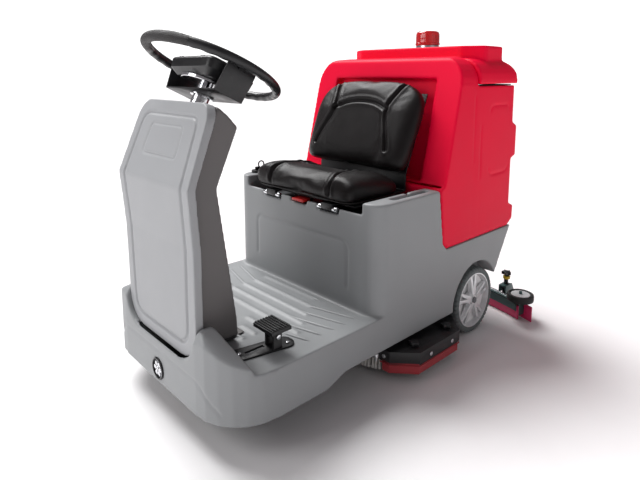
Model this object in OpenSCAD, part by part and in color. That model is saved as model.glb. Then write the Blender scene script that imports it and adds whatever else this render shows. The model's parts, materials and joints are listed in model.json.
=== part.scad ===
// Ride-on floor scrubber. Millimetres, +Z up, front towards -Y, driver's left is +X.
// The origin is on the floor under the middle of the machine.

/* [Chassis] */
// Width of the chassis
body_w = 720; // [640:10:860]
// Distance from the rear axle forward to the steering pivot
wheelbase = 1035; // [980:5:1200]
// Nose ahead of the steering pivot
nose_reach = 67; // [64:1:90]
// Height of the foot deck above the floor
deck_h = 235; // [232:1:250]
// Height of the seat box rim
box_h = 589; // [560:1:640]
// Wall of the moulded body
wall = 8; // [6:0.5:9]
// Height of the chassis skirt above the floor
skirt_clear = 98; // [90:1:104]

/* [Column and steering] */
// Half width of the front panel at its bend
panel_half_w = 205; // [185:1:215]
// Rake of the steering shaft
rake = 26; // [24:1:28]
// Radius of the steering wheel at the middle of its rim
rim_r = 196; // [170:1:205]
// Radius of the steering wheel's grip
grip_r = 14; // [11:0.5:16]
// Diameter of the steering shafts
shaft_d = 22; // [18:1:24]

/* [Wheels] */
// Diameter of the rear tyres
rear_tyre_d = 252; // [230:2:270]
// Width of the rear tyres
rear_tyre_w = 58; // [48:1:64]
// Diameter of the front drive wheel
front_tyre_d = 160; // [146:2:164]
// Width of the front drive wheel
front_tyre_w = 84; // [70:1:88]
// Diameter of the wheel axles
axle_d = 20; // [16:1:24]
// How far the front wheel trails its pivot
trail = 45; // [40:1:50]

/* [Seat] */
// Width of the seat cushion
seat_w = 524; // [440:2:530]
// Height of the backrest above the seat box rim
back_h = 380; // [320:5:400]
// Distance between the two seat hinges
hinge_gap = 290; // [240:5:320]

/* [Recovery tank] */
// Height of the tank's top above the floor
tank_h = 1030; // [960:5:1080]
// Height of the seam between tank and lid
seam_h = 932; // [900:1:950]
// Height of the raised panel on the lid
lid_step = 48; // [30:1:60]

/* [Batteries] */
// Length of one battery
battery_l = 300; // [240:1:306]
// Width of one battery
battery_w = 156; // [130:1:160]
// Height of one battery
battery_h = 215; // [190:1:225]

/* [Brush deck] */
// Width over the side skirts
scrub_w = 850; // [760:5:880]
// Diameter of each brush
brush_d = 400; // [340:5:404]
// How far the bristles hang above the floor when parked
brush_lift = 20; // [18:1:24]

/* [Squeegee] */
// Width over the squeegee blades
squeegee_w = 948; // [860:4:980]
// Diameter of the bumper rollers
roller_d = 102; // [80:2:110]

/* [Fits] */
// Radial clearance of a shaft in its bearing
run_gap = 0.05; // [0.03:0.01:0.1]
// Gap between pieces that move past each other
move_gap = 1; // [0.8:0.1:1.5]
// Gap between moulded panels
panel_gap = 2; // [1.5:0.5:3]

/* [Hidden] */
$fn = 64;
half_w = body_w / 2;
rear_reach = 370;
lamp_proud = 4;
length = wheelbase + nose_reach + lamp_proud + rear_reach;
nose_y = lamp_proud - length / 2;
steer_y = nose_y + nose_reach;
axle_y = steer_y + wheelbase;
axle_z = rear_tyre_d / 2;
wheel_z = front_tyre_d / 2;
wheel_y = steer_y + trail;

// stations along the machine, measured forward of the rear axle
box_y = axle_y - 572;
box_rear_y = axle_y - 257;
tank_y = axle_y - 246;
tail_y = axle_y + 243;
sill_z = 375;
tray_z = box_h - 289;
rail_z = deck_h - wall - 40;

// steering: the raked and the upright shaft meet at the ball joint
joint_z = 702;
ring_t = 319.3;
ring_y = steer_y + ring_t * sin(rake);
ring_z = joint_z + ring_t * cos(rake);
ball_r = 17;
cup_r = 23;

// pivots
seat_pin_y = box_y + 2;
seat_pin_z = box_h - 43;
release_y = box_y + 34;
release_z = box_h - 42;
cushion_t = 88;
back_t = 96;
back_lean = 22.8;
lid_pin_y = axle_y + 236;
lid_pin_z = seam_h - 10;
pedal_x = 268;
pedal_y = axle_y - 893;
pedal_z = deck_h + 38;
arm_y = axle_y + 120;
arm_z = 172;
swivel_y = axle_y + 240;

// brush deck
deck_y = axle_y - 318;
deck_top = 105;
deck_t = 6;
brush_x = brush_d / 2 + 4;
motor_r = 52;
motor_h = 120;

// squeegee
blade_r = 1280;
blade_a = asin(squeegee_w / 2 / blade_r);
channel_z = 66;
channel_h = 46;
castor_x = 325;
castor_y = axle_y + 336;
castor_r = 34;
castor_z = castor_r + 1;
roller_x = 421;
roller_y = axle_y + 240;

// outlines: a corner is [x, y, radius], and a radius of 0 keeps it sharp
function unit(v) = v / norm(v);
function turn(a, b, c) = sign((b.x - a.x) * (c.y - b.y) - (b.y - a.y) * (c.x - b.x));
function corner(a, b, c) =
  let (p = [b.x, b.y], u = unit([a.x, a.y] - p), v = unit([c.x, c.y] - p),
       half = acos(u * v) / 2, back = b[2] / tan(half), mid = p + unit(u + v) * b[2] / sin(half),
       first = p + u * back - mid, swing = turn(a, b, c) * (180 - 2 * half))
  [for (i = [0:6]) let (t = swing * i / 6)
    mid + [first.x * cos(t) - first.y * sin(t), first.x * sin(t) + first.y * cos(t)]];
function outline(pts) =
  [for (i = [0:len(pts) - 1])
    each pts[i][2] == 0 ? [[pts[i].x, pts[i].y]]
      : corner(pts[(i + len(pts) - 1) % len(pts)], pts[i], pts[(i + 1) % len(pts)])];
function mirrored(pts) =
  concat(pts, [for (i = [len(pts) - 1:-1:0]) [-pts[i].x, pts[i].y, pts[i][2]]]);

module across(pts, w) {
  rotate([90, 0, 90]) linear_extrude(w, center = true) polygon(outline(pts));
}
module along(pts, y0, y1) {
  translate([0, y1, 0]) rotate([90, 0, 0]) linear_extrude(y1 - y0) polygon(outline(pts));
}
module upright(pts, z0, z1) {
  translate([0, 0, z0]) linear_extrude(z1 - z0) polygon(outline(pts));
}
module slab(x0, x1, y0, y1, z0, z1) {
  translate([x0, y0, z0]) cube([x1 - x0, y1 - y0, z1 - z0]);
}
module rod_x(y, z, r, x0, x1) {
  translate([x0, y, z]) rotate([0, 90, 0]) cylinder(r = r, h = x1 - x0);
}
module rod_y(x, z, r, y0, y1) {
  translate([x, y1, z]) rotate([90, 0, 0]) cylinder(r = r, h = y1 - y0);
}
module rod_z(x, y, r, z0, z1) {
  translate([x, y, z0]) cylinder(r = r, h = z1 - z0);
}
module both_sides() {
  children();
  mirror([1, 0, 0]) children();
}
module on_rake() {
  translate([0, ring_y, ring_z]) rotate([-rake, 0, 0]) children();
}
module star(x, y, z, r, h) {
  lobes = [for (i = [0:9]) let (d = i % 2 == 0 ? r : r * 0.6) [d * cos(i * 36), d * sin(i * 36), r * 0.12]];
  translate([x, y, z]) linear_extrude(h) polygon(outline(lobes));
}

// ---- chassis ----
function tub_plan(inset) = mirrored([
  [half_w - inset, axle_y + 250, 0],
  [half_w - inset, nose_y + inset, 150 - inset]
]);
function box_plan(inset) = mirrored([
  [half_w - inset, axle_y + 250, 0],
  [half_w - inset, box_y + inset, 55 - inset]
]);
function panel_front(grow) = mirrored([
  [panel_half_w - 14 + grow, 903 + grow, 58],
  [panel_half_w + grow, 690, 0],
  [panel_half_w - 8 + grow, deck_h - 8 - grow, 84]
]);

module tub() {
  intersection() {
    upright(tub_plan(0), 0, deck_h);
    across([[nose_y, skirt_clear, 0], [nose_y + 330, skirt_clear, 30],
      [nose_y + 396, skirt_clear + 24, 30], [axle_y + 100, skirt_clear + 24, 0],
      [axle_y + 135, 205, 0], [axle_y + 157, deck_h, 0], [nose_y, deck_h, 0]], body_w);
  }
}
module nose() {
  intersection() {
    upright(tub_plan(0), deck_h - 1, deck_h + 100);
    across([[nose_y, deck_h - 1, 0], [nose_y, deck_h + 62, 12], [nose_y + 18, deck_h + 90, 14],
      [nose_y + 58, deck_h + 92, 14], [nose_y + 92, deck_h - 1, 0]], body_w);
    along(mirrored([[half_w, deck_h - 1, 0], [half_w - 16, deck_h + 16, 12],
      [half_w - 62, deck_h + 42, 12], [half_w - 110, deck_h + 70, 12],
      [half_w - 150, deck_h + 92, 12]]), nose_y - 1, nose_y + 100);
  }
}
module box_block() {
  intersection() {
    upright(box_plan(0), deck_h - 60, box_h);
    across([[box_y, deck_h - 60, 0], [box_y, box_h, 0], [box_rear_y, box_h, 0],
      [axle_y - 228, sill_z + 20, 0], [axle_y - 205, sill_z, 0], [tail_y, sill_z, 0],
      [axle_y + 135, 205, 0], [axle_y + 120, deck_h - 60, 0]], body_w);
  }
}
module floor_ribs() {
  for (i = [0:4]) {
    y = box_y - 28 - i * 48;
    slab(-150, 120 + i * 34, y - 6, y + 6, deck_h - 0.5, deck_h + 4);
  }
  for (i = [0:2]) {
    y = box_y - 268 - i * 44;
    slab(70 + i * 34, 176, y - 6, y + 6, deck_h - 0.5, deck_h + 4);
  }
}
module main_body() {
  rim = 66;
  color("#9aa1a6")
  difference() {
    union() {
      tub();
      nose();
      box_block();
      floor_ribs();
    }
    // hollow under the deck and nose
    difference() {
      upright(tub_plan(wall), -1, deck_h - wall);
      slab(-half_w, half_w, axle_y - 165, axle_y + 300, 0, deck_h);
      slab(half_w - 67 - wall, half_w, axle_y - 180, axle_y + 160, 0, deck_h);
      slab(-half_w, -half_w + 67 + wall, axle_y - 180, axle_y + 160, 0, deck_h);
    }
    // hollow between the rear wheels, open below
    slab(-half_w + 75, half_w - 75, axle_y - 166, axle_y + 90, -1, sill_z - wall);
    slab(-half_w + 75, half_w - 75, axle_y + 89, axle_y + 300, -1, 196);
    // hollow under the battery tray
    intersection() {
      upright(box_plan(wall), deck_h - wall - 1, tray_z - wall);
      slab(-half_w, half_w, box_y, axle_y - 160, deck_h - wall - 1, tray_z - wall);
    }
    // battery bay, open at the top
    slab(-half_w + 34, half_w - 34, box_y + wall + 4, box_y + wall + 12 + battery_l, tray_z, box_h - 70);
    slab(-half_w + rim, half_w - rim, box_y + wall + 4, tank_y - 10, box_h - 71, box_h + 1);
    slab(-half_w + rim, half_w - rim, tank_y - 20, axle_y - 160, sill_z, box_h + 1);
    // seat opening in the front wall
    slab(-half_w + rim, half_w - rim, box_y - 1, box_y + 60, box_h - 38, box_h + 1);
    for (s = [-1, 1])
      slab(s * hinge_gap / 2 - 50, s * hinge_gap / 2 + 50, box_y - 1, box_y + 20, seat_pin_z - 14, box_h);
    slab(-42, 42, box_y - 1, box_y + 20, seat_pin_z - 10, box_h);
    // tray slots and rear notches in the side rims
    both_sides() {
      slab(half_w - 48, half_w - 26, box_y + 104, box_y + 290, box_h - 24, box_h + 1);
      slab(half_w - rim - 1, half_w - 25, box_y + 200, box_y + 214, box_h - 26, box_h + 1);
    }
    // water filler
    rod_z(-half_w + 30, box_y + 70, 17, box_h - 60, box_h + 1);
    // rear wheel arches
    both_sides() {
      rod_x(axle_y, axle_z, rear_tyre_d / 2 + 26, half_w - 67, half_w + 1);
      slab(half_w - 67, half_w + 1, axle_y - 152, axle_y + 160, -1, axle_z);
      rod_x(axle_y, axle_z, axle_d / 2 + 4, half_w - 80, half_w);
      slab(half_w - 80, half_w - 60, axle_y - 14, axle_y + 14, -1, axle_z);
    }
    // seat for the steering column
    along(panel_front(panel_gap), nose_y - 1, steer_y + 120);
    // headlight
    rod_y(0, 141, 29, nose_y - 1, nose_y + wall + 1);
    rod_y(0, 141, 31.5, nose_y - 1, nose_y + 2);
    // pedal screws and hose passages
    rod_z(pedal_x - 25, pedal_y - 96, 3, deck_h - wall - 1, deck_h + 1);
    rod_z(pedal_x + 13, pedal_y + 40, 3, deck_h - wall - 1, deck_h + 1);
  }
}

module under_frame() {
  color("#2b2d30") {
    difference() {
      union() {
        both_sides() {
          slab(90, 124, steer_y + 60, axle_y - 120, rail_z, deck_h - wall);
          slab(90, 124, axle_y - 150, axle_y + 88, rail_z, deck_h - wall);
          slab(104, 110, axle_y - 34, axle_y + 34, axle_z - 24, rail_z + 1);
          slab(half_w - 92, half_w - 84, axle_y - 34, axle_y + 34, axle_z - 24, rail_z + 1);
        }
        slab(-half_w + 84, half_w - 84, axle_y - 34, axle_y + 34, rail_z, deck_h - wall);
        slab(-91, 91, axle_y - 150, axle_y - 120, rail_z, deck_h - wall);
        slab(-110, 110, steer_y - 44, steer_y + 90, 190, 198);
        rod_z(0, steer_y, 32, 190, 222);
        both_sides() {
          slab(44, 52, axle_y + 30, arm_y + 16, arm_z - 16, 194);
          slab(44, 52, axle_y + 30, axle_y + 88, rail_z, 210);
        }
        slab(-91, 91, deck_y - 30, deck_y - 20, 194, 216);
        slab(-91, 91, deck_y + 20, deck_y + 30, 194, 216);
      }
      rod_z(0, steer_y, shaft_d / 2 + run_gap, 180, 230);
      rod_x(axle_y, axle_z, axle_d / 2, -half_w, half_w);
      rod_x(arm_y, arm_z, 5 + run_gap, -60, 60);
    }
  }
}

function column_side() = [
  [nose_y + 110, 893, 0], [nose_y + 26, 690, 0], [nose_y + 36, 530, 0],
  [nose_y + 38, deck_h - 6, 0], [steer_y + 92, deck_h - 6, 0], [steer_y + 86, 315, 30],
  [steer_y + 34, 678, 30], [steer_y + 104, 835, 10], [steer_y + 73, 868, 10]
];
module column_panel() {
  t = 24;
  color("#c3c8cc")
  difference() {
    intersection() {
      along(panel_front(0), nose_y - 30, nose_y + 130);
      across([[nose_y + 84, 903, 0], [nose_y, 690, 40], [nose_y + 12, 530, 40],
        [nose_y + 14, deck_h - 8, 0], [nose_y + 14 + t, deck_h - 8, 0],
        [nose_y + 12 + t, 530, 40], [nose_y + t, 690, 40], [nose_y + 84 + t, 893, 0]], 500);
    }
    // sunk border
    translate([0, 2, 0]) difference() {
      intersection() {
        along(mirrored([[150, 830, 34], [164, 690, 0], [156, 300, 50]]), nose_y - 30, nose_y + 100);
        across([[nose_y + 76, 903, 0], [nose_y - 2, 692, 40], [nose_y + 8, 530, 40],
          [nose_y + 10, 220, 0], [nose_y - 40, 220, 0], [nose_y - 40, 903, 0]], 420);
      }
      along(mirrored([[136, 816, 26], [150, 690, 0], [142, 314, 42]]), nose_y - 40, nose_y + 110);
    }
  }
}
module column_cover() {
  w = 2 * panel_half_w - 54;
  color("#6f7376")
  difference() {
    union() {
      intersection() {
        across(column_side(), w);
        along(panel_front(-1), nose_y - 30, nose_y + 200);
      }
      slab(-150, 150, steer_y + 82, steer_y + 134, deck_h, deck_h + 3);
    }
    translate([0, -6, -4]) across(column_side(), w - 10);
    on_rake() cylinder(r = 31, h = 400, center = true);
  }
}
module column_post() {
  color("#8b9095")
  difference() {
    union() {
      both_sides() {
        slab(26, 31, steer_y - 14, steer_y + 14, 222, joint_z + 6);
        on_rake() translate([25.5, -13, -ring_t - 6]) cube([6, 26, 156]);
      }
      on_rake() translate([0, 0, -240]) cylinder(r = 27, h = 110);
      slab(-panel_half_w + 32.3, panel_half_w - 32.3, steer_y - 10, steer_y + 12, 496, 500);
    }
    rod_z(0, steer_y, shaft_d / 2 + 4, 490, 510);
    on_rake() translate([0, 0, -250]) cylinder(r = shaft_d / 2 + run_gap, h = 200);
  }
}
module headlight_ring() {
  color("#1d1f21")
  translate([0, nose_y + 2, 141]) rotate([90, 0, 0])
  difference() {
    cylinder(r = 31, h = 6);
    translate([0, 0, -1]) cylinder(r = 27, h = 8);
  }
}
module headlight_lamp() {
  color("#e6edf2")
  translate([0, nose_y + wall, 141]) rotate([90, 0, 0]) cylinder(r = 26.7, h = wall + 2);
}
module rear_axle() {
  color("#8b9095") {
    rod_x(axle_y, axle_z, axle_d / 2, -half_w + 10, half_w - 10);
    both_sides() translate([half_w - 9.5, axle_y, axle_z]) rotate([0, 90, 0]) cylinder(r = 13, h = 7, $fn = 6);
  }
}
module batteries() {
  color("#2a3038")
  for (i = [-1.5:1:1.5]) {
    x = i * (battery_w + 4);
    slab(x - battery_w / 2, x + battery_w / 2, box_y + wall + 10, box_y + wall + 10 + battery_l,
      tray_z, tray_z + battery_h);
    for (s = [-1, 1])
      rod_z(x + s * battery_w / 4, box_y + wall + 40, 8, tray_z + battery_h - 1, tray_z + battery_h + 10);
  }
}
module seat_hinges() {
  color("#c9cdd0")
  for (s = [-1, 1]) translate([s * hinge_gap / 2, 0, 0]) {
    rod_x(seat_pin_y, seat_pin_z, 4, -44, 44);
    for (k = [-1, 1]) difference() {
      union() {
        rod_x(seat_pin_y, seat_pin_z, 8, k * 35 - 9, k * 35 + 9);
        slab(k * 35 - 9, k * 35 + 9, seat_pin_y, box_y + 23, seat_pin_z - 8, seat_pin_z - 5);
      }
    }
    slab(-44, 44, box_y + 12, box_y + 15, seat_pin_z - 50, seat_pin_z - 5);
  }
}

// ---- recovery tank ----
function tank_side(inset) = [
  [axle_y - 205 + inset, sill_z + inset, 0], [axle_y - 226 + inset, sill_z + 22, 0],
  [tank_y + inset, box_h - 2, 0], [axle_y - 222 + inset, box_h + 8, 0],
  [axle_y - 121 + inset, tank_h - inset, 20], [axle_y - 32 - inset, tank_h + 8 - inset, 12],
  [axle_y - 32 - inset, seam_h, 0], [axle_y + 229 - inset, seam_h, 0],
  [axle_y + 229 - inset, 790, 8], [axle_y + 262 - inset, 775, 6], [axle_y + 262 - inset, 655, 6],
  [axle_y + 229 - inset, 645, 8], [axle_y + 229 - inset, 465, 8], [axle_y + 264 - inset, 452, 6],
  [axle_y + 262 - inset, 396, 6], [axle_y + 226 - inset, sill_z + inset, 0]
];
function tank_front(inset) = mirrored([
  [half_w - 5 - inset, tank_h + 8 - inset, 104 - inset], [half_w - 3 - inset, sill_z + inset, 0]
]);
module backrest_recess(grow) {
  across([[axle_y - 320, 596 - grow, 0], [axle_y - 178 + grow, 600 - grow, 0],
    [axle_y - 98 + grow, 957 + grow, 0], [axle_y - 320, 957 + grow, 0]], 500 + 2 * grow);
}
module recovery_tank() {
  color("#d3002e")
  difference() {
    intersection() {
      across(tank_side(0), body_w);
      union() {
        along(tank_front(0), axle_y - 300, axle_y - 31);
        along(mirrored([[half_w - 4, seam_h, 0], [half_w - 3, sill_z, 0]]), axle_y - 31.5, axle_y + 300);
      }
    }
    // hollow, kept a wall away from the recess
    difference() {
      intersection() {
        across(tank_side(wall), body_w);
        along(tank_front(wall), axle_y - 300, axle_y + 300);
      }
      backrest_recess(wall);
    }
    backrest_recess(0);
    // mouth under the lid
    slab(-half_w + 30, half_w - 30, axle_y - 20, axle_y + 205, seam_h - 60, seam_h + 1);
    // room for the lid hinge
    slab(-154, 154, axle_y + 224, axle_y + 300, lid_pin_z - 12, seam_h + 1);
  }
  // hinge knuckles and pin
  color("#d3002e") both_sides() {
    slab(62, 104, axle_y + 222, lid_pin_y, lid_pin_z - 8, lid_pin_z);
    rod_x(lid_pin_y, lid_pin_z, 8, 62, 104);
    rod_x(lid_pin_y, lid_pin_z, 4, 103, 152);
  }
}
module lid_seal() {
  color("#1c1d1f")
  difference() {
    slab(-half_w + 14, half_w - 14, axle_y - 22, axle_y + 218, seam_h, seam_h + 4);
    slab(-half_w + 26, half_w - 26, axle_y - 14, axle_y + 208, seam_h - 1, seam_h + 5);
  }
}
module vacuum_motor() {
  top = tank_h + lid_step - wall;
  color("#3a3d40") {
    rod_z(-170, axle_y + 108, 58, top - 100, top);
    rod_z(-170, axle_y + 108, 38, top - 122, top - 99);
  }
}

// ---- lid and beacon ----
module tank_lid() {
  base = seam_h + 4.3;
  top = tank_h + lid_step;
  color("#d3002e")
  difference() {
    union() {
      intersection() {
        across([[axle_y - 28, base, 0], [axle_y - 28, tank_h, 16], [axle_y + 245, tank_h, 74],
          [axle_y + 245, base, 0]], body_w);
        along(mirrored([[half_w, base, 0], [half_w, tank_h, 74]]), axle_y - 40, axle_y + 250);
      }
      upright(mirrored([[half_w - 42, axle_y + 206, 24], [half_w - 34, axle_y + 60, 24],
        [half_w - 112, axle_y + 10, 30]]), tank_h - 40, top);
    }
    intersection() {
      across([[axle_y - 28 + wall, base - 1, 0], [axle_y - 28 + wall, tank_h - wall, 10],
        [axle_y + 245 - wall, tank_h - wall, 66], [axle_y + 245 - wall, base - 1, 0]], body_w);
      along(mirrored([[half_w - wall, base - 1, 0], [half_w - wall, tank_h - wall, 66]]),
        axle_y - 40, axle_y + 250);
    }
    upright(mirrored([[half_w - 50, axle_y + 198, 18], [half_w - 42, axle_y + 60, 18],
      [half_w - 120, axle_y + 18, 22]]), tank_h - wall - 1, top - wall);
  }
  // hinge knuckles
  color("#d3002e") both_sides() difference() {
    union() {
      slab(110, 150, lid_pin_y + 1, lid_pin_y + 8, lid_pin_z, base + 2);
      rod_x(lid_pin_y, lid_pin_z, 8, 110, 150);
    }
    rod_x(lid_pin_y, lid_pin_z, 4 + run_gap, 100, 160);
  }
}
module beacon_base() {
  top = tank_h + lid_step;
  color("#c9ccd0") {
    rod_z(0, axle_y + 150, 52, top, top + 4);
    rod_z(0, axle_y + 150, 47, top + 3, top + 14);
  }
}
module beacon_dome() {
  z = tank_h + lid_step + 14;
  color("#e2121d")
  translate([0, axle_y + 150, 0]) rotate_extrude()
    polygon([[0, z], [50, z], [50, z + 18], [48, z + 20], [48, z + 50], [44, z + 58], [0, z + 60]]);
}

// ---- pedal ----
module pedal_base() {
  color("#17181a")
  difference() {
    union() {
      upright([[pedal_x - 60, pedal_y - 116, 24], [pedal_x, pedal_y - 116, 24],
        [pedal_x + 38, pedal_y + 60, 24], [pedal_x - 22, pedal_y + 60, 24]], deck_h, deck_h + 5);
      for (x = [-20, 14]) slab(pedal_x + x, pedal_x + x + 6, pedal_y - 14, pedal_y + 14, deck_h + 4, pedal_z + 10);
    }
    slab(pedal_x - 24, pedal_x - 12, pedal_y - 80, pedal_y - 20, deck_h - 1, deck_h + 6);
    rod_z(pedal_x - 25, pedal_y - 96, 3, deck_h - 1, deck_h + 6);
    rod_z(pedal_x + 13, pedal_y + 40, 3, deck_h - 1, deck_h + 6);
    rod_x(pedal_y, pedal_z, 4, pedal_x - 30, pedal_x + 30);
  }
}
module pedal_screws() {
  color("#c9cdd0") {
    for (p = [[-25, -96], [13, 40]]) {
      rod_z(pedal_x + p.x, pedal_y + p.y, 3, deck_h - wall - 4, deck_h + 5);
      rod_z(pedal_x + p.x, pedal_y + p.y, 6, deck_h + 5, deck_h + 8);
    }
    rod_x(pedal_y, pedal_z, 4, pedal_x - 24, pedal_x + 24);
    rod_x(pedal_y, pedal_z, 7, pedal_x + 20, pedal_x + 25);
    rod_x(pedal_y, pedal_z, 7, pedal_x - 25, pedal_x - 20);
  }
}
module drive_pedal() {
  color("#101113")
  difference() {
    union() {
      rod_x(pedal_y, pedal_z, 9, pedal_x - 13, pedal_x + 13);
      across_at(pedal_x, [[pedal_y - 8, pedal_z, 0], [pedal_y - 34, pedal_z + 18, 0],
        [pedal_y - 34, pedal_z + 30, 0], [pedal_y + 26, pedal_z + 30, 0], [pedal_y + 26, pedal_z + 20, 0],
        [pedal_y + 8, pedal_z, 0]], 26);
      slab(pedal_x - 42, pedal_x + 42, pedal_y - 36, pedal_y + 30, pedal_z + 20, pedal_z + 30);
      for (i = [0:6]) slab(pedal_x - 40, pedal_x + 40, pedal_y - 33 + i * 9, pedal_y - 28 + i * 9,
        pedal_z + 29, pedal_z + 34);
    }
    rod_x(pedal_y, pedal_z, 4 + run_gap, pedal_x - 30, pedal_x + 30);
  }
}
module across_at(x, pts, w) {
  translate([x, 0, 0]) across(pts, w);
}

// ---- steering, built around the raked shaft with the wheel's plane at zero ----
module steering_wheel() {
  color("#1b1a1d")
  on_rake() {
    rotate_extrude($fn = 96) translate([rim_r, 0]) circle(r = grip_r, $fn = 32);
    both_sides() translate([152.3, -16, -8]) cube([rim_r - 158, 32, 10]);
  }
}
module console_box() {
  color("#141416")
  on_rake() difference() {
    upright([[-112, -78, 40], [112, -78, 40], [126, 20, 30], [92, 92, 30], [-92, 92, 30], [-126, 20, 30]], -46, 4);
    translate([0, 52, -20]) cylinder(r = 11 + move_gap, h = 30);
    translate([62, 44, -20]) cylinder(r = 9 + run_gap, h = 30);
  }
}
module console_bracket() {
  color("#121214")
  on_rake() difference() {
    union() {
      slab(-133, 133, -48, 48, -84, -80);
      both_sides() along([[129, -84, 0], [134, -84, 0], [152, -8, 0], [152, 2, 0], [148, 2, 0],
        [148, -8, 0]], -48, 48);
    }
    translate([0, 0, -90]) cylinder(r = 20, h = 20);
  }
}
module steering_collars() {
  color("#c6cbd0")
  on_rake() difference() {
    union() {
      translate([0, 0, -56]) cylinder(r = 74, h = 10);
      translate([0, 0, -80]) cylinder(r = 20, h = 25);
      translate([0, 0, -90]) cylinder(r = 34, h = 6);
      translate([0, 0, -122]) cylinder(r = 25, h = 33);
      translate([0, -24, -106]) rotate([90, 0, 0]) cylinder(r = 5, h = 3);
    }
    translate([0, 0, -130]) cylinder(r = shaft_d / 2, h = 140);
  }
}
module steering_shaft() {
  color("#9da3a8")
  on_rake() {
    translate([0, 0, -ring_t + 6]) cylinder(r = shaft_d / 2, h = ring_t - 56);
    translate([0, 0, -ring_t]) sphere(r = ball_r);
  }
}
module key_switch() {
  color("#b9bdc1")
  on_rake() translate([62, 44, 0]) {
    translate([0, 0, -18]) cylinder(r = 9, h = 25);
    translate([-1.5, -8, 6]) cube([3, 16, 22]);
  }
}
module stop_button() {
  color("#d01018")
  on_rake() translate([0, 52, 0]) {
    translate([0, 0, -14]) cylinder(r = 11, h = 26);
    translate([0, 0, 11]) cylinder(r = 19, h = 9);
  }
}

// ---- front drive unit ----
module steering_fork() {
  leg_in = front_tyre_w / 2 + 4;
  color("#3c3f43")
  difference() {
    union() {
      rod_z(0, steer_y, shaft_d / 2, 176, joint_z - 40);
      rod_z(0, steer_y, cup_r, joint_z - 42, joint_z + 5);
      slab(-leg_in - 8, leg_in + 8, steer_y - 20, wheel_y + 20, front_tyre_d + 8, front_tyre_d + 18);
      both_sides() slab(leg_in, leg_in + 8, steer_y - 14, wheel_y + 20, wheel_z, front_tyre_d + 9);
      both_sides() rod_x(wheel_y, wheel_z, 20, leg_in, leg_in + 8);
    }
    translate([0, steer_y, joint_z]) sphere(r = ball_r + 0.5);
    translate([0, steer_y, joint_z]) rotate([-rake, 0, 0]) cylinder(r = shaft_d / 2 + 3, h = 60);
    translate([0, steer_y, joint_z - 2]) cylinder(r1 = ball_r - 1, r2 = cup_r + 2, h = 20);
    rod_x(wheel_y, wheel_z, axle_d / 2, -100, 100);
  }
}
module drive_motor() {
  color("#55595d") {
    rod_x(wheel_y, wheel_z, axle_d / 2, -front_tyre_w / 2 - 14, front_tyre_w / 2 + 14);
    rod_x(wheel_y, wheel_z, 40, -24, 24);
  }
}
module front_tyre() {
  color("#3a3234")
  difference() {
    rod_x(wheel_y, wheel_z, front_tyre_d / 2, -front_tyre_w / 2, front_tyre_w / 2);
    rod_x(wheel_y, wheel_z, front_tyre_d / 2 - 20, -60, 60);
  }
}
module front_hub() {
  color("#1d1b1c")
  difference() {
    rod_x(wheel_y, wheel_z, front_tyre_d / 2 - 20, -front_tyre_w / 2 + 3, front_tyre_w / 2 - 3);
    rod_x(wheel_y, wheel_z, 43, -28, 28);
    rod_x(wheel_y, wheel_z, axle_d / 2 + run_gap, -60, 60);
  }
}

// ---- rear wheels ----
module rear_tyre(side) {
  x0 = half_w - 2 - rear_tyre_w;
  color("#8d9190")
  scale([1, 1, 1]) mirror([side < 0 ? 1 : 0, 0, 0]) translate([x0 + rear_tyre_w / 2, axle_y, axle_z])
    rotate([0, 90, 0]) rotate_extrude($fn = 96)
      polygon(outline([[104, -rear_tyre_w / 2, 2], [rear_tyre_d / 2, -rear_tyre_w / 2, 8],
        [rear_tyre_d / 2, rear_tyre_w / 2, 8], [104, rear_tyre_w / 2, 2]]));
}
module rear_rim(side) {
  x0 = half_w - 2 - rear_tyre_w;
  color("#c8cdd1")
  mirror([side < 0 ? 1 : 0, 0, 0])
  difference() {
    union() {
      difference() {
        rod_x(axle_y, axle_z, 104, x0 + 3, x0 + rear_tyre_w - 3);
        rod_x(axle_y, axle_z, 95, x0 - 1, x0 + rear_tyre_w + 1);
      }
      rod_x(axle_y, axle_z, 24, x0 + 6, half_w - 12);
      for (a = [0:72:288], s = [-1, 1])
        translate([x0 + rear_tyre_w - 22, axle_y, axle_z]) rotate([a, 0, 0]) rotate([s * 9, 0, 0])
          translate([0, -5, 18]) cube([14, 10, 80]);
    }
    rod_x(axle_y, axle_z, axle_d / 2 + run_gap, x0 - 1, half_w + 1);
  }
}
module rear_tyre_left() { rear_tyre(1); }
module rear_tyre_right() { rear_tyre(-1); }
module rear_rim_left() { rear_rim(1); }
module rear_rim_right() { rear_rim(-1); }

// ---- seat ----
module pad(w, l, t, r) {
  hull() for (x = [-1, 1], y = [-1, 1], z = [-1, 1])
    translate([x * (w / 2 - r), y * (l / 2 - r), z * (t / 2 - r)]) sphere(r = r, $fn = 24);
}
module seat_plate() {
  z = box_h - 33;
  color("#1a1b1d")
  difference() {
    union() {
      slab(-seat_w / 2 + 24, seat_w / 2 - 24, box_y + 30, axle_y - 290, z, z + 5);
      for (s = [-1, 1]) {
        slab(s * hinge_gap / 2 - 25, s * hinge_gap / 2 + 25, seat_pin_y, box_y + 40, z, z + 5);
        rod_x(seat_pin_y, seat_pin_z, 8, s * hinge_gap / 2 - 25, s * hinge_gap / 2 + 25);
        slab(s * hinge_gap / 2 - 25, s * hinge_gap / 2 + 25, seat_pin_y - 8, seat_pin_y + 4, seat_pin_z, z + 5);
        slab(s * 31.5 - 2, s * 31.5 + 2, box_y + 29, box_y + 40, release_z - 5, z + 1);
      }
      rod_x(release_y, release_z, 3, -31, 31);
    }
    rod_x(seat_pin_y, seat_pin_z, 4 + run_gap, -half_w, half_w);
  }
}
module seat_cushion() {
  color("#1d1a1c")
  translate([0, axle_y - 456, box_h - 22.3 + cushion_t / 2]) pad(seat_w, 253, cushion_t, 34);
}
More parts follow.
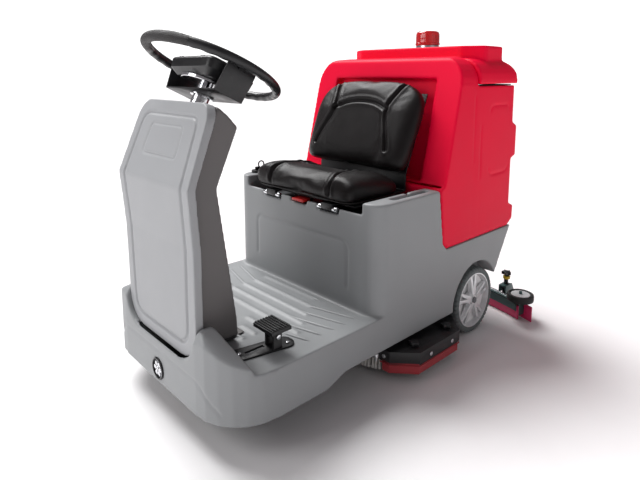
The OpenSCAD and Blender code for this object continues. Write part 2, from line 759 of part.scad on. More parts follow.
module on_back() {
  translate([0, axle_y - 243, box_h + back_h / 2 + 14]) rotate([-back_lean, 0, 0]) children();
}
module seat_backrest() {
  color("#1d1a1c")
  on_back() pad(seat_w - 10, back_t, back_h - 46, 40);
}
function on_back_line(y, z) = [
  axle_y - 243 + y * cos(back_lean) + z * sin(back_lean),
  box_h + back_h / 2 + 14 - y * sin(back_lean) + z * cos(back_lean), 0];
module seat_shell() {
  foot = back_h / 2 - 30;
  front = back_t / 2 + 0.4;
  color("#19191b")
  across([[box_y + 40, box_h - 28, 0], [axle_y - 257, box_h - 28, 12], on_back_line(front + 5.5, -foot),
    on_back_line(front + 5.5, foot - 20), on_back_line(front, foot - 20), on_back_line(front, -foot),
    [axle_y - 263, box_h - 22.7, 6], [box_y + 40, box_h - 22.7, 0]], seat_w - 90);
}
module seat_release() {
  color("#c01414")
  difference() {
    slab(-28, 28, box_y - 4, release_y + 5, release_z - 4, release_z + 4);
    rod_x(release_y, release_z, 3 + run_gap, -40, 40);
  }
}
module filler_cap() {
  x = -half_w + 30;
  y = box_y + 70;
  color("#141516") {
    rod_z(x, y, 16.9, box_h - 14, box_h);
    rod_z(x, y, 22, box_h, box_h + 9);
    slab(x - 3, x + 3, y - 8, y + 12, box_h + 8, box_h + 22);
    translate([x, y + 20, box_h + 30]) rotate([0, 90, 0]) rotate_extrude() translate([13, 0]) circle(r = 2.6, $fn = 20);
  }
}

// ---- brush deck ----
function skirt_line(o) = [
  [scrub_w / 2 - 110 + o, deck_y - 182 - o, 0], [scrub_w / 2 - 70 + o, deck_y - 182 - o, 0],
  [scrub_w / 2 + o, deck_y - 116 - o * 0.4, 0], [scrub_w / 2 + o, deck_y + 108 + o * 0.4, 0],
  [scrub_w / 2 - 84 + o, deck_y + 183 + o, 0], [scrub_w / 2 - 110 + o, deck_y + 183 + o, 0]
];
module brush_deck() {
  color("#1e1d20")
  difference() {
    union() {
      upright(mirrored([for (i = [4:-1:1]) skirt_line(0)[i]]), deck_top - deck_t, deck_top);
      both_sides() difference() {
        upright(skirt_line(0), deck_top - 37, deck_top - deck_t + 0.5);
        upright(skirt_line(-4.5), deck_top - 38, deck_top - deck_t);
        slab(0, scrub_w / 2 - 104, deck_y - 300, deck_y + 300, 0, 200);
      }
      slab(-16, 16, deck_y - 15, deck_y - 9, deck_top - 1, deck_top + 34);
      slab(-16, 16, deck_y + 9, deck_y + 15, deck_top - 1, deck_top + 34);
    }
    both_sides() {
      rod_z(brush_x, deck_y, 12, 0, 200);
      rod_z(scrub_w / 2 - 45, deck_y - 90, 4, 0, 200);
      rod_z(scrub_w / 2 - 45, deck_y + 88, 4, 0, 200);
    }
    rod_y(0, deck_top + 24, 5, deck_y - 30, deck_y + 30);
  }
}
module deck_skirts() {
  color("#c4303c")
  both_sides() difference() {
    upright(skirt_line(-4.8), 30, deck_top - deck_t - 0.3);
    upright(skirt_line(-8.8), 29, deck_top + 1);
    slab(0, scrub_w / 2 - 104, deck_y - 300, deck_y + 300, 0, 200);
  }
}
module deck_bolts() {
  color("#d7dadd")
  both_sides() {
    for (y = [-60, 60]) translate([scrub_w / 2, deck_y + y, 84]) rotate([0, 90, 0]) cylinder(r = 7, h = 4);
    translate([scrub_w / 2 - 92, deck_y - 182, 84]) rotate([90, 0, 0]) cylinder(r = 7, h = 4);
  }
}
module deck_knobs() {
  color("#141416")
  both_sides() for (y = [-90, 88]) {
    star(scrub_w / 2 - 45, deck_y + y, deck_top, 22, 14);
    rod_z(scrub_w / 2 - 45, deck_y + y, 4, deck_top - deck_t, deck_top + 1);
  }
}
module brush_motors() {
  color("#303337")
  both_sides() {
    rod_z(brush_x, deck_y, motor_r, deck_top, deck_top + motor_h);
    rod_z(brush_x, deck_y, 9, 62, deck_top + 1);
  }
}
module deck_actuator() {
  color("#3b3f44")
  difference() {
    union() {
      rod_z(0, deck_y, 20, 160, 214);
      slab(-16, 16, deck_y - 20, deck_y + 20, 196, 214);
    }
    rod_z(0, deck_y, 8.3, 150, 206);
  }
}
module actuator_rod() {
  color("#c9cdd0") {
    rod_z(0, deck_y, 8, deck_top + 14, 200);
    rod_y(0, deck_top + 24, 4.9, deck_y - 18, deck_y + 18);
  }
}
module brush(side) {
  x = side * brush_x;
  color("#e8e8e4") difference() {
    union() {
      rod_z(x, deck_y, brush_d / 2 - 6, 58, 72);
      rod_z(x, deck_y, 16, 71, 96);
      difference() {
        rod_z(x, deck_y, brush_d / 2, brush_lift, 58);
        rod_z(x, deck_y, brush_d / 2 - 90, brush_lift - 1, 57);
      }
    }
    rod_z(x, deck_y, 9 + run_gap, 61, 100);
  }
}
module brush_left() { brush(1); }
module brush_right() { brush(-1); }
module drain_valve() {
  z = skirt_clear + 24;
  color("#b8bcc0") {
    rod_z(half_w - 9, axle_y - 560, 7, z - 12, z);
    rod_z(half_w - 9, axle_y - 560, 4, z - 24, z - 11);
  }
}

// ---- squeegee ----
module bow(r0, r1, a, z0, z1) {
  translate([0, axle_y + 318 - blade_r, z0]) rotate([0, 0, 90 - a])
    rotate_extrude(angle = 2 * a, $fn = 720) translate([r0, 0]) square([r1 - r0, z1 - z0]);
}
module squeegee_arm() {
  color("#2b2d30")
  difference() {
    union() {
      rod_x(arm_y, arm_z, 14, -43, 43);
      rod_x(arm_y, arm_z, 5, -53, 53);
      both_sides() slab(30, 38, arm_y, swivel_y + 10, arm_z - 8, arm_z + 8);
      slab(-38, 38, swivel_y - 24, swivel_y + 24, arm_z - 8, arm_z - 2);
    }
    rod_z(0, swivel_y, 8 + run_gap, arm_z - 30, arm_z + 30);
  }
}
module squeegee_channel() {
  color("#4a5153")
  difference() {
    union() {
      bow(blade_r - 26, blade_r, 20, channel_z - channel_h, channel_z);
      rod_z(0, swivel_y, 8, channel_z - 1, arm_z + 10);
      rod_z(0, swivel_y, 20, channel_z - 1, arm_z - 9);
      slab(-60, 60, swivel_y - 20, axle_y + 336, channel_z - 1, channel_z + 4);
      both_sides() {
        for (x = [castor_x - 16, castor_x + 11])
          across_at(x + 2.5, [[castor_y - 62, channel_z - 1, 0], [castor_y - 36, channel_z - 1, 0],
            [castor_y - 20, castor_z - 12, 6], [castor_y + 12, castor_z - 12, 8], [castor_y + 12, 60, 8],
            [castor_y - 10, 96, 0], [castor_y - 62, 96, 0]], 5);
        slab(castor_x - 16, castor_x + 16, castor_y - 62, castor_y - 14, 90, 96);
        rod_x(castor_y, castor_z, 5, castor_x - 14, castor_x + 14);
        rod_z(roller_x, roller_y, 13, channel_z - 1, channel_z + 6);
        rod_z(roller_x, roller_y, 6, channel_z - 1, channel_z + 44);
      }
    }
    bow(blade_r - 22, blade_r - 4, 19.6, channel_z - channel_h - 1, channel_z - 5);
    rod_z(0, axle_y + 304, 8.9, channel_z - 10, channel_z + 5);
    both_sides() rod_z(castor_x, castor_y - 32, 4 + run_gap, 80, 100);
  }
}
module squeegee_blades() {
  color("#e0386c")
  difference() {
    union() {
      bow(blade_r + 0.5, blade_r + 4.5, blade_a, 2, channel_z - 2);
      bow(blade_r - 30.5, blade_r - 26.5, 20, 2, channel_z - 8);
    }
  }
}

module squeegee_knob(side) {
  x = side * castor_x;
  color("#101113") {
    star(x, castor_y - 32, 138, 22, 13);
    rod_z(x, castor_y - 32, 4, 84, 139);
    rod_z(x, castor_y - 32, 9, 97, 138);
  }
}
module squeegee_knob_left() { squeegee_knob(1); }
module squeegee_knob_right() { squeegee_knob(-1); }
module suction_spout() {
  color("#1c1d1f")
  difference() {
    union() {
      rod_z(0, axle_y + 304, 24, channel_z + 4, channel_z + 64);
      rod_z(0, axle_y + 304, 30, channel_z + 4, channel_z + 8);
    }
    rod_z(0, axle_y + 304, 19, channel_z, channel_z + 70);
  }
}
module castor(side) {
  color("#26282a")
  difference() {
    rod_x(castor_y, castor_z, castor_r, side * castor_x - 9, side * castor_x + 9);
    rod_x(castor_y, castor_z, 5 + run_gap, side * castor_x - 20, side * castor_x + 20);
  }
}
module castor_left() { castor(1); }
module castor_right() { castor(-1); }
module bumper_roller(side) {
  color("#5a5f63")
  difference() {
    rod_z(side * roller_x, roller_y, roller_d / 2, channel_z + 7, channel_z + 37);
    rod_z(side * roller_x, roller_y, 6 + run_gap, 0, 300);
  }
}
module bumper_roller_left() { bumper_roller(1); }
module bumper_roller_right() { bumper_roller(-1); }

main_body();
under_frame();
column_panel();
column_cover();
column_post();
headlight_ring();
headlight_lamp();
rear_axle();
batteries();
seat_hinges();
recovery_tank();
lid_seal();
vacuum_motor();
pedal_base();
pedal_screws();
deck_actuator();
drain_valve();
steering_wheel();
console_box();
console_bracket();
steering_collars();
steering_shaft();
key_switch();
stop_button();
steering_fork();
drive_motor();
front_tyre();
front_hub();
rear_tyre_left();
rear_tyre_right();
rear_rim_left();
rear_rim_right();
drive_pedal();
seat_plate();
seat_cushion();
seat_backrest();
seat_shell();
seat_release();
filler_cap();
tank_lid();
beacon_base();
beacon_dome();
brush_deck();
deck_skirts();
deck_bolts();
deck_knobs();
brush_motors();
actuator_rod();
brush_left();
brush_right();
squeegee_arm();
squeegee_channel();
squeegee_blades();
squeegee_knob_left();
squeegee_knob_right();
suction_spout();
castor_left();
castor_right();
bumper_roller_left();
bumper_roller_right();
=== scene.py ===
import json
import math
import random
import bmesh
import bpy
from mathutils import Matrix, Vector
from mathutils.bvhtree import BVHTree


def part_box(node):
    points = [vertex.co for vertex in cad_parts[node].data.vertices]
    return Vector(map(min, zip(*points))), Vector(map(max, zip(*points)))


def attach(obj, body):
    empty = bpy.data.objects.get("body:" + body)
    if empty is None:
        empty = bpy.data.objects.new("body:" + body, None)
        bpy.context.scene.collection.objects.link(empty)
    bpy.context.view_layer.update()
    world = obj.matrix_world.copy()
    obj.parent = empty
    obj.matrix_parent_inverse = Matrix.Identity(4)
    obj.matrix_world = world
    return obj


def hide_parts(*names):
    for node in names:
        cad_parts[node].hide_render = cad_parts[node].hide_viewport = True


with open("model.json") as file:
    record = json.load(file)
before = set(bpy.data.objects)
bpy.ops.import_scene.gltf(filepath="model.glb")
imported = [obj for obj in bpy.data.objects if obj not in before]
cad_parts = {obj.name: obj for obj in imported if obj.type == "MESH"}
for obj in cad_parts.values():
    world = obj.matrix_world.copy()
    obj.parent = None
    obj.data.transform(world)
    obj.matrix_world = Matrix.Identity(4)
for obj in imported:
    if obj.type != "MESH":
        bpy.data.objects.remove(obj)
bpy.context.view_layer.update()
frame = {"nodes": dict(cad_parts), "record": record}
nodes = frame["nodes"]
scene = bpy.context.scene
random.seed(7)
print("frame loaded:", len(nodes), "nodes")

# view
view = {"place": (1.3365, -1.3476, 0.9748), "turn": 46.997, "dip": 8.267, "focal": 524.69, "raise": -90 / 640}
cameraData = bpy.data.cameras.new("camera")
camera = bpy.data.objects.new("camera", cameraData)
scene.collection.objects.link(camera)
cameraData.sensor_width = 36
cameraData.lens = 36 * view["focal"] / 640
cameraData.shift_y = view["raise"]
cameraData.clip_start = 0.05
camera.location = view["place"]
camera.rotation_euler = (math.radians(90 - view["dip"]), 0, math.radians(view["turn"]))
scene.camera = camera

# stations taken from the frame
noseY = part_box("main_body")[0].y
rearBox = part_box("rear_tyre_left")
axleY = (rearBox[0].y + rearBox[1].y) / 2
axleZ = (rearBox[0].z + rearBox[1].z) / 2
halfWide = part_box("main_body")[1].x
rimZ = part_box("main_body")[1].z
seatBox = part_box("seat_cushion")
bothSides = ((1, "left"), (-1, "right"))


def place(obj, body, material, stands=()):
    obj.data.materials.clear()
    obj.data.materials.append(material)
    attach(obj, body)
    if stands:
        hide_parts(*stands)
    return obj


def linked(name, mesh):
    obj = bpy.data.objects.new(name, mesh)
    scene.collection.objects.link(obj)
    return obj


def shade(obj, angle=35):
    obj.data.shade_smooth()
    obj.data.set_sharp_from_angle(angle=math.radians(angle))
    return obj


def freeze(obj):
    graph = bpy.context.evaluated_depsgraph_get()
    made = bpy.data.meshes.new_from_object(obj.evaluated_get(graph))
    obj.modifiers.clear()
    obj.data = made
    return obj


def fromBmesh(name, bm):
    mesh = bpy.data.meshes.new(name)
    bmesh.ops.recalc_face_normals(bm, faces=bm.faces)
    bm.to_mesh(mesh)
    bm.free()
    return linked(name, mesh)


def copied(name, node):
    mesh = nodes[node].data.copy()
    bm = bmesh.new()
    bm.from_mesh(mesh)
    bmesh.ops.remove_doubles(bm, verts=bm.verts, dist=0.00002)
    bm.to_mesh(mesh)
    bm.free()
    mesh.materials.clear()
    return linked(name, mesh)


def soften(obj, voxel, rounds):
    # one even skin over the shape, then its edges eased
    grid = obj.modifiers.new("grid", "REMESH")
    grid.mode = "VOXEL"
    grid.voxel_size = voxel
    ease = obj.modifiers.new("soften", "SMOOTH")
    ease.factor = 0.5
    ease.iterations = rounds


def moulded(name, node, voxel=0.0045, rounds=5, cuts=(), keep=0.5):
    # a moulded shell: every edge comes out softly rounded
    obj = copied(name, node)
    for part in cuts:
        step = obj.modifiers.new("step", "BOOLEAN")
        step.operation = "DIFFERENCE"
        step.solver = "EXACT"
        step.object = part
    freeze(obj)
    for part in cuts:
        bpy.data.objects.remove(part)
    soften(obj, voxel, rounds)
    thin = obj.modifiers.new("thin", "DECIMATE")
    thin.decimate_type = "COLLAPSE"
    thin.ratio = keep
    freeze(obj)
    obj.data.shade_smooth()
    return obj


def bevelled(name, node, width=0.001, steps=2, angle=32):
    # machined or bent metal and small mouldings: crisp faces with a broken edge
    obj = copied(name, node)
    bm = bmesh.new()
    bm.from_mesh(obj.data)
    bmesh.ops.dissolve_limit(bm, angle_limit=math.radians(1), verts=bm.verts, edges=bm.edges)
    bm.to_mesh(obj.data)
    bm.free()
    edge = obj.modifiers.new("edge", "BEVEL")
    edge.width = width
    edge.segments = steps
    edge.limit_method = "ANGLE"
    edge.angle_limit = math.radians(angle)
    edge.use_clamp_overlap = True
    freeze(obj)
    return shade(obj, 40)


def box(name, low, high, radius=0.002, steps=3):
    bm = bmesh.new()
    bmesh.ops.create_cube(bm, size=1)
    low, high = Vector(low), Vector(high)
    for vert in bm.verts:
        vert.co = Vector([low[i] + (vert.co[i] + 0.5) * (high[i] - low[i]) for i in range(3)])
    if radius:
        bmesh.ops.bevel(bm, geom=bm.edges, offset=radius, segments=steps, profile=0.5, affect="EDGES")
    return shade(fromBmesh(name, bm))


def skin(bm, rings, ends=False):
    # the faces between each ring of points and the next, and over the two ends if asked
    for here, there in zip(rings, rings[1:]):
        size = len(here)
        for k in range(size):
            bm.faces.new((here[k], here[(k + 1) % size], there[(k + 1) % size], there[k]))
    if ends:
        bm.faces.new(rings[0])
        bm.faces.new(rings[-1])


def joined(parts):
    # one object out of several, under the name of the first
    bpy.ops.object.select_all(action="DESELECT")
    for part in parts:
        part.select_set(True)
    bpy.context.view_layer.objects.active = parts[0]
    bpy.ops.object.join()
    return parts[0]


def middleOf(low, high):
    return (Vector(low) + Vector(high)) / 2


def skinOf(node):
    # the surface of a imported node, for rays to land on
    mesh = nodes[node].data
    return BVHTree.FromPolygons([v.co for v in mesh.vertices], [tuple(p.vertices) for p in mesh.polygons])


def lathe(name, profile, centre, axis="X", count=96, shape=None):
    # profile: (radius, along) points of a closed section turned about the axis
    bm = bmesh.new()
    rings = []
    for i in range(count):
        a = 2 * math.pi * i / count
        ring = []
        for r, h in profile:
            if shape:
                r, h = shape(r, h, a)
            flat = {"X": (h, r * math.cos(a), r * math.sin(a)), "Y": (r * math.sin(a), h, r * math.cos(a)),
                    "Z": (r * math.cos(a), r * math.sin(a), h)}[axis]
            ring.append(bm.verts.new(Vector(centre) + Vector(flat)))
        rings.append(ring)
    skin(bm, rings + rings[:1])
    bmesh.ops.remove_doubles(bm, verts=bm.verts, dist=0.00001)
    return shade(fromBmesh(name, bm))


def tube(name, points, radius, closed=False, sides=12, radii=None):
    # a round bar along a smooth line of points
    bm = bmesh.new()
    points = [Vector(p) for p in points]
    count = len(points)
    rings = []
    up = Vector((0.13, 0.27, 0.95)).normalized()
    for i, p in enumerate(points):
        ahead = points[(i + 1) % count] if closed else points[min(i + 1, count - 1)]
        behind = points[i - 1] if closed or i else points[0]
        way = (ahead - behind).normalized()
        side = way.cross(up).normalized()
        up = side.cross(way).normalized()
        r = radii[i] if radii else radius
        rings.append([bm.verts.new(p + (side * math.cos(t) + up * math.sin(t)) * r)
                      for t in [2 * math.pi * k / sides for k in range(sides)]])
    skin(bm, rings + rings[:1] if closed else rings, ends=not closed)
    return shade(fromBmesh(name, bm))


def roundedLoop(corners, steps=6):
    # corners (x, y, radius) to a loop of points with arcs
    loop = []
    for i, (x, y, r) in enumerate(corners):
        b = Vector((x, y))
        a, c = Vector(corners[i - 1][:2]), Vector(corners[(i + 1) % len(corners)][:2])
        if not r:
            loop.append((x, y))
            continue
        u, v = (a - b).normalized(), (c - b).normalized()
        half = math.acos(max(-1, min(1, u.dot(v)))) / 2
        back = r / math.tan(half)
        mid = b + (u + v).normalized() * r / math.sin(half)
        p, q = b + u * back - mid, b + v * back - mid
        swing = math.atan2(p.x * q.y - p.y * q.x, p.dot(q))
        for k in range(steps + 1):
            t = swing * k / steps
            loop.append((mid.x + p.x * math.cos(t) - p.y * math.sin(t),
                         mid.y + p.x * math.sin(t) + p.y * math.cos(t)))
    return loop


# finishes
def finish(name, color, rough=0.5, metal=0.0, grain=0.0, grainScale=900.0, kind="noise", mottle=0.05,
           mottleScale=6.0,
           roughSpread=0.08, coat=0.0, coatRough=0.15, stretch=(1, 1, 1), specular=0.5, dirt=0.0):
    material = bpy.data.materials.new(name)
    material.use_nodes = True
    tree = material.node_tree
    shader = tree.nodes["Principled BSDF"]
    shader.inputs["Metallic"].default_value = metal
    shader.inputs["Coat Weight"].default_value = coat
    shader.inputs["Coat Roughness"].default_value = coatRough
    shader.inputs["Specular IOR Level"].default_value = specular

    def node(kindName, **values):
        made = tree.nodes.new(kindName)
        for key, value in values.items():
            if key in made.inputs:
                made.inputs[key].default_value = value
            else:
                setattr(made, key, value)
        return made

    def join(a, out, b, into):
        tree.links.new(a.outputs[out], b.inputs[into])
    where = node("ShaderNodeTexCoord")
    mapping = node("ShaderNodeMapping", Scale=stretch)
    join(where, "Object", mapping, "Vector")
    # broad colour drift
    drift = node("ShaderNodeTexNoise", Scale=mottleScale, Detail=6.0, Roughness=0.6)
    join(mapping, "Vector", drift, "Vector")
    ramp = node("ShaderNodeValToRGB")
    dark = [c * (1 - mottle) for c in color]
    light = [min(1, c * (1 + mottle)) for c in color]
    ramp.color_ramp.elements[0].position = 0.3
    ramp.color_ramp.elements[0].color = (*dark, 1)
    ramp.color_ramp.elements[1].position = 0.72
    ramp.color_ramp.elements[1].color = (*light, 1)
    join(drift, "Fac", ramp, "Fac")
    last = ramp
    lastOut = "Color"
    if dirt:
        # dusty specks
        speck = node("ShaderNodeTexNoise", Scale=60.0, Detail=8.0, Roughness=0.75)
        join(mapping, "Vector", speck, "Vector")
        gate = node("ShaderNodeMapRange")
        gate.inputs["From Min"].default_value = 0.55
        gate.inputs["From Max"].default_value = 0.8
        gate.inputs["To Max"].default_value = dirt
        join(speck, "Fac", gate, "Value")
        blend = node("ShaderNodeMix", data_type="RGBA")
        join(gate, "Result", blend, "Factor")
        tree.links.new(ramp.outputs["Color"], blend.inputs[6])
        blend.inputs[7].default_value = (0.42, 0.40, 0.37, 1)
        last, lastOut = blend, 2
    tree.links.new(last.outputs[lastOut], shader.inputs["Base Color"])
    # roughness patches
    patch = node("ShaderNodeTexNoise", Scale=mottleScale * 4, Detail=5.0)
    join(mapping, "Vector", patch, "Vector")
    spread = node("ShaderNodeMapRange")
    spread.inputs["From Min"].default_value = 0.3
    spread.inputs["From Max"].default_value = 0.7
    spread.inputs["To Min"].default_value = max(0.02, rough - roughSpread)
    spread.inputs["To Max"].default_value = min(1.0, rough + roughSpread)
    join(patch, "Fac", spread, "Value")
    join(spread, "Result", shader, "Roughness")
    if grain:
        if kind == "leather":
            cells = node("ShaderNodeTexVoronoi", Scale=grainScale, feature="DISTANCE_TO_EDGE")
            join(mapping, "Vector", cells, "Vector")
            fold = node("ShaderNodeMapRange")
            fold.inputs["From Max"].default_value = 0.22
            join(cells, "Distance", fold, "Value")
            source, out = fold, "Result"
        else:
            fine = node("ShaderNodeTexNoise", Scale=grainScale, Detail=3.0, Roughness=0.6)
            join(mapping, "Vector", fine, "Vector")
            source, out = fine, "Fac"
        bump = node("ShaderNodeBump")
        bump.inputs["Strength"].default_value = 1.0
        bump.inputs["Distance"].default_value = grain
        tree.links.new(source.outputs[out], bump.inputs["Height"])
        join(bump, "Normal", shader, "Normal")
    return material


finishes = {
    "greyMoulding": finish("greyMoulding", (0.275, 0.285, 0.292), 0.46, grain=0.00012, grainScale=700,
                           mottle=0.03, roughSpread=0.04),
    "panelMoulding": finish("panelMoulding", (0.335, 0.343, 0.355), 0.45, grain=0.0001, grainScale=700,
                            mottle=0.02, roughSpread=0.04),
    "coverMoulding": finish("coverMoulding", (0.125, 0.117, 0.116), 0.48, grain=0.00015, grainScale=700,
                            mottle=0.03, roughSpread=0.04),
    "redTank": finish("redTank", (0.92, 0.0004, 0.040), 0.5, grain=0.00005, grainScale=700, mottle=0.02,
                      roughSpread=0.02, specular=0.13),
    "blackSteel": finish("blackSteel", (0.010, 0.010, 0.011), 0.4, grain=0.00006, grainScale=1400, mottle=0.2,
                         dirt=0.05),
    "greySteel": finish("greySteel", (0.16, 0.17, 0.18), 0.4, metal=0.6, grain=0.00004, grainScale=1200,
                        dirt=0.05),
    "chrome": finish("chrome", (0.72, 0.73, 0.75), 0.16, metal=1.0, grain=0.00002, grainScale=90, mottle=0.04,
                     roughSpread=0.05),
    "brushed": finish("brushed", (0.62, 0.63, 0.65), 0.3, metal=1.0, grain=0.00003, grainScale=260,
                      stretch=(1, 14, 14)),
    "silverRim": finish("silverRim", (0.78, 0.79, 0.80), 0.35, metal=0.45, grain=0.00004, grainScale=900,
                        dirt=0.08),
    "blackPlastic": finish("blackPlastic", (0.007, 0.007, 0.008), 0.36, grain=0.00016, grainScale=1100,
                           mottle=0.25),
    "gripRubber": finish("gripRubber", (0.016, 0.014, 0.014), 0.55, grain=0.0007, grainScale=260,
                         kind="leather"),
    "vinyl": finish("vinyl", (0.0075, 0.0058, 0.006), 0.34, grain=0.00016, grainScale=420, kind="leather",
                    mottle=0.3,
                    coat=0.03, coatRough=0.3, specular=0.2, roughSpread=0.04),
    "blackRubber": finish("blackRubber", (0.018, 0.018, 0.018), 0.7, grain=0.0002, grainScale=900,
                          mottle=0.25, dirt=0.1),
    "driveRubber": finish("driveRubber", (0.055, 0.042, 0.043), 0.75, grain=0.0003, grainScale=500,
                          mottle=0.2, dirt=0.2),
    "greyRubber": finish("greyRubber", (0.135, 0.155, 0.155), 0.7, grain=0.00025, grainScale=600, mottle=0.1,
                         dirt=0.15),
    "redRubber": finish("redRubber", (0.42, 0.035, 0.045), 0.5, grain=0.00012, grainScale=700, mottle=0.1),
    "bladeRubber": finish("bladeRubber", (0.86, 0.035, 0.17), 0.35, grain=0.00006, grainScale=500,
                          mottle=0.06),
    "bristle": finish("bristle", (0.72, 0.71, 0.67), 0.55, grain=0.0009, grainScale=240, stretch=(1, 1, 0.05),
                      mottle=0.12),
    "redPlastic": finish("redPlastic", (0.55, 0.012, 0.012), 0.4, grain=0.0001, grainScale=900),
    "motorGrey": finish("motorGrey", (0.05, 0.052, 0.056), 0.5, grain=0.0001, grainScale=900, mottle=0.15),
    "lens": finish("lens", (0.10, 0.11, 0.13), 0.08, metal=0.5, coat=1.0, coatRough=0.03, grain=0.0001,
                   grainScale=60),
    "beacon": finish("beacon", (0.72, 0.01, 0.015), 0.12, coat=0.8, coatRough=0.04, grain=0.00005,
                     grainScale=80),
    "battery": finish("battery", (0.03, 0.033, 0.038), 0.5, grain=0.0002, grainScale=500, mottle=0.15),
    "tealSteel": finish("tealSteel", (0.055, 0.10, 0.098), 0.4, metal=0.2, grain=0.00005, grainScale=900),
    "paleDish": finish("paleDish", (0.90, 0.90, 0.90), 0.5, grain=0.00004, grainScale=900, mottle=0.04),
    "yellow": finish("yellow", (0.75, 0.50, 0.03), 0.45, grain=0.0001, grainScale=700),
}
# the two finishes that let some light through
for key, through in {"beacon": 0.35, "bladeRubber": 0.25}.items():
    finishes[key].node_tree.nodes["Principled BSDF"].inputs["Transmission Weight"].default_value = through
print("finishes made:", len(finishes))

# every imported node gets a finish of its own, whether or not a finer piece stands for it
nodeFinish = {
    "main_body": "greyMoulding", "under_frame": "blackSteel", "column_panel": "panelMoulding",
    "column_cover": "coverMoulding", "column_post": "greySteel", "headlight_ring": "blackPlastic",
    "headlight_lamp": "lens", "rear_axle": "greySteel", "batteries": "battery", "seat_hinges": "chrome",
    "recovery_tank": "redTank", "lid_seal": "blackRubber", "vacuum_motor": "motorGrey",
    "pedal_base": "blackSteel",
    "pedal_screws": "chrome", "deck_actuator": "motorGrey", "drain_valve": "brushed",
    "steering_wheel": "blackPlastic",
    "console_box": "blackPlastic", "console_bracket": "blackSteel", "steering_collars": "chrome",
    "steering_shaft": "brushed", "key_switch": "brushed", "stop_button": "redPlastic",
    "steering_fork": "motorGrey",
    "drive_motor": "motorGrey", "front_tyre": "driveRubber", "front_hub": "blackPlastic",
    "rear_tyre_left": "greyRubber", "rear_tyre_right": "greyRubber", "rear_rim_left": "silverRim",
    "rear_rim_right": "silverRim", "drive_pedal": "blackPlastic", "seat_plate": "blackSteel",
    "seat_cushion": "vinyl", "seat_backrest": "vinyl", "seat_shell": "blackPlastic",
    "seat_release": "redPlastic",
    "filler_cap": "blackPlastic", "tank_lid": "redTank", "beacon_base": "brushed", "beacon_dome": "beacon",
    "brush_deck": "blackSteel", "deck_skirts": "redRubber", "deck_bolts": "chrome",
    "deck_knobs": "blackPlastic",
    "brush_motors": "motorGrey", "actuator_rod": "brushed", "brush_left": "bristle", "brush_right": "bristle",
    "squeegee_arm": "blackSteel", "squeegee_channel": "tealSteel", "squeegee_blades": "bladeRubber",
    "squeegee_knob_left": "blackPlastic", "squeegee_knob_right": "blackPlastic",
    "suction_spout": "blackRubber",
    "castor_left": "blackRubber", "castor_right": "blackRubber", "bumper_roller_left": "blackRubber",
    "bumper_roller_right": "blackRubber",
}
bodyOf = {node: body for body, group in frame["record"]["behaviour"]["bodies"].items() for node in group}
for name, key in nodeFinish.items():
    mesh = nodes[name].data
    mesh.materials.clear()
    mesh.materials.append(finishes[key])


def stand(obj, node):
    # the finer piece takes over from the node: same body, same finish
    return place(obj, bodyOf[node], finishes[nodeFinish[node]], (node,))


def standBevelled(node, name, width=0.0008, steps=2):
    # the finer piece is the node's own shape with its edges broken
    return stand(bevelled(name, node, width, steps), node)


# floor and light
studio = {"floor": (0.93, 0.92, 0.925), "sun": 4.1, "softness": 38, "front": 46, "side": 4,
          "sky": 0.2, "backdrop": 1.3}
floorMesh = bpy.data.meshes.new("floor")
floorMesh.from_pydata([(-30, -30, -0.0005), (30, -30, -0.0005), (30, 30, -0.0005), (-30, 30, -0.0005)], [],
                      [(0, 1, 2, 3)])
floor = linked("floor", floorMesh)
floorFinish = finish("floorFinish", studio["floor"], 0.6, grain=0.0001, grainScale=200, mottle=0.01)
floor.data.materials.append(floorFinish)


def lamp(name, size, power, spot, aim):
    data = bpy.data.lights.new(name, "AREA")
    data.shape = "RECTANGLE"
    data.size, data.size_y = size
    data.energy = power
    obj = bpy.data.objects.new(name, data)
    scene.collection.objects.link(obj)
    obj.location = spot
    obj.rotation_euler = (Vector(aim) - Vector(spot)).to_track_quat("-Z", "Y").to_euler()
    return obj


lamp("frontLight", (1.8, 1.8), studio["front"], (-0.9, -3.3, 2.3), (0, -0.2, 0.6))
lamp("sideLight", (2.4, 1.6), studio["side"], (3.0, 0.2, 1.8), (0, 0.1, 0.5))
sunData = bpy.data.lights.new("overhead", "SUN")
sunData.energy = studio["sun"]
sunData.angle = math.radians(studio["softness"])
overhead = linked("overhead", sunData)
overhead.rotation_euler = Vector((-0.68, 0.04, 1.0)).to_track_quat("Z", "Y").to_euler()
world = bpy.data.worlds.new("studioSky")
scene.world = world
world.use_nodes = True
sky = world.node_tree.nodes["Background"]
sky.inputs["Color"].default_value = (1.0, 0.93, 0.97, 1)
sky.inputs["Strength"].default_value = studio["sky"]
# the backdrop behind everything reads as plain white
backdrop = world.node_tree.nodes.new("ShaderNodeBackground")
backdrop.inputs["Color"].default_value = (1, 1, 1, 1)
backdrop.inputs["Strength"].default_value = studio["backdrop"]
seen = world.node_tree.nodes.new("ShaderNodeLightPath")
either = world.node_tree.nodes.new("ShaderNodeMixShader")
world.node_tree.links.new(seen.outputs["Is Camera Ray"], either.inputs["Fac"])
world.node_tree.links.new(sky.outputs["Background"], either.inputs[1])
world.node_tree.links.new(backdrop.outputs["Background"], either.inputs[2])
world.node_tree.links.new(either.outputs["Shader"], world.node_tree.nodes["World Output"].inputs["Surface"])
scene.view_settings.view_transform = "Standard"
print("studio ready")

# mouldings
moulding = {"boxAhead": 0.572, "crease": 0.0052, "border": 0.0068, "pocket": 0.0046, "wallLine": 0.006}


def lineOn(points, radius):
    # a round cutter along a line, for a groove pressed into a moulding
    if math.dist(points[0], points[-1]) < 1e-6:
        return tube("cutter", points[:-1], radius, closed=True, sides=8)
    return tube("cutter", points, radius, sides=8)


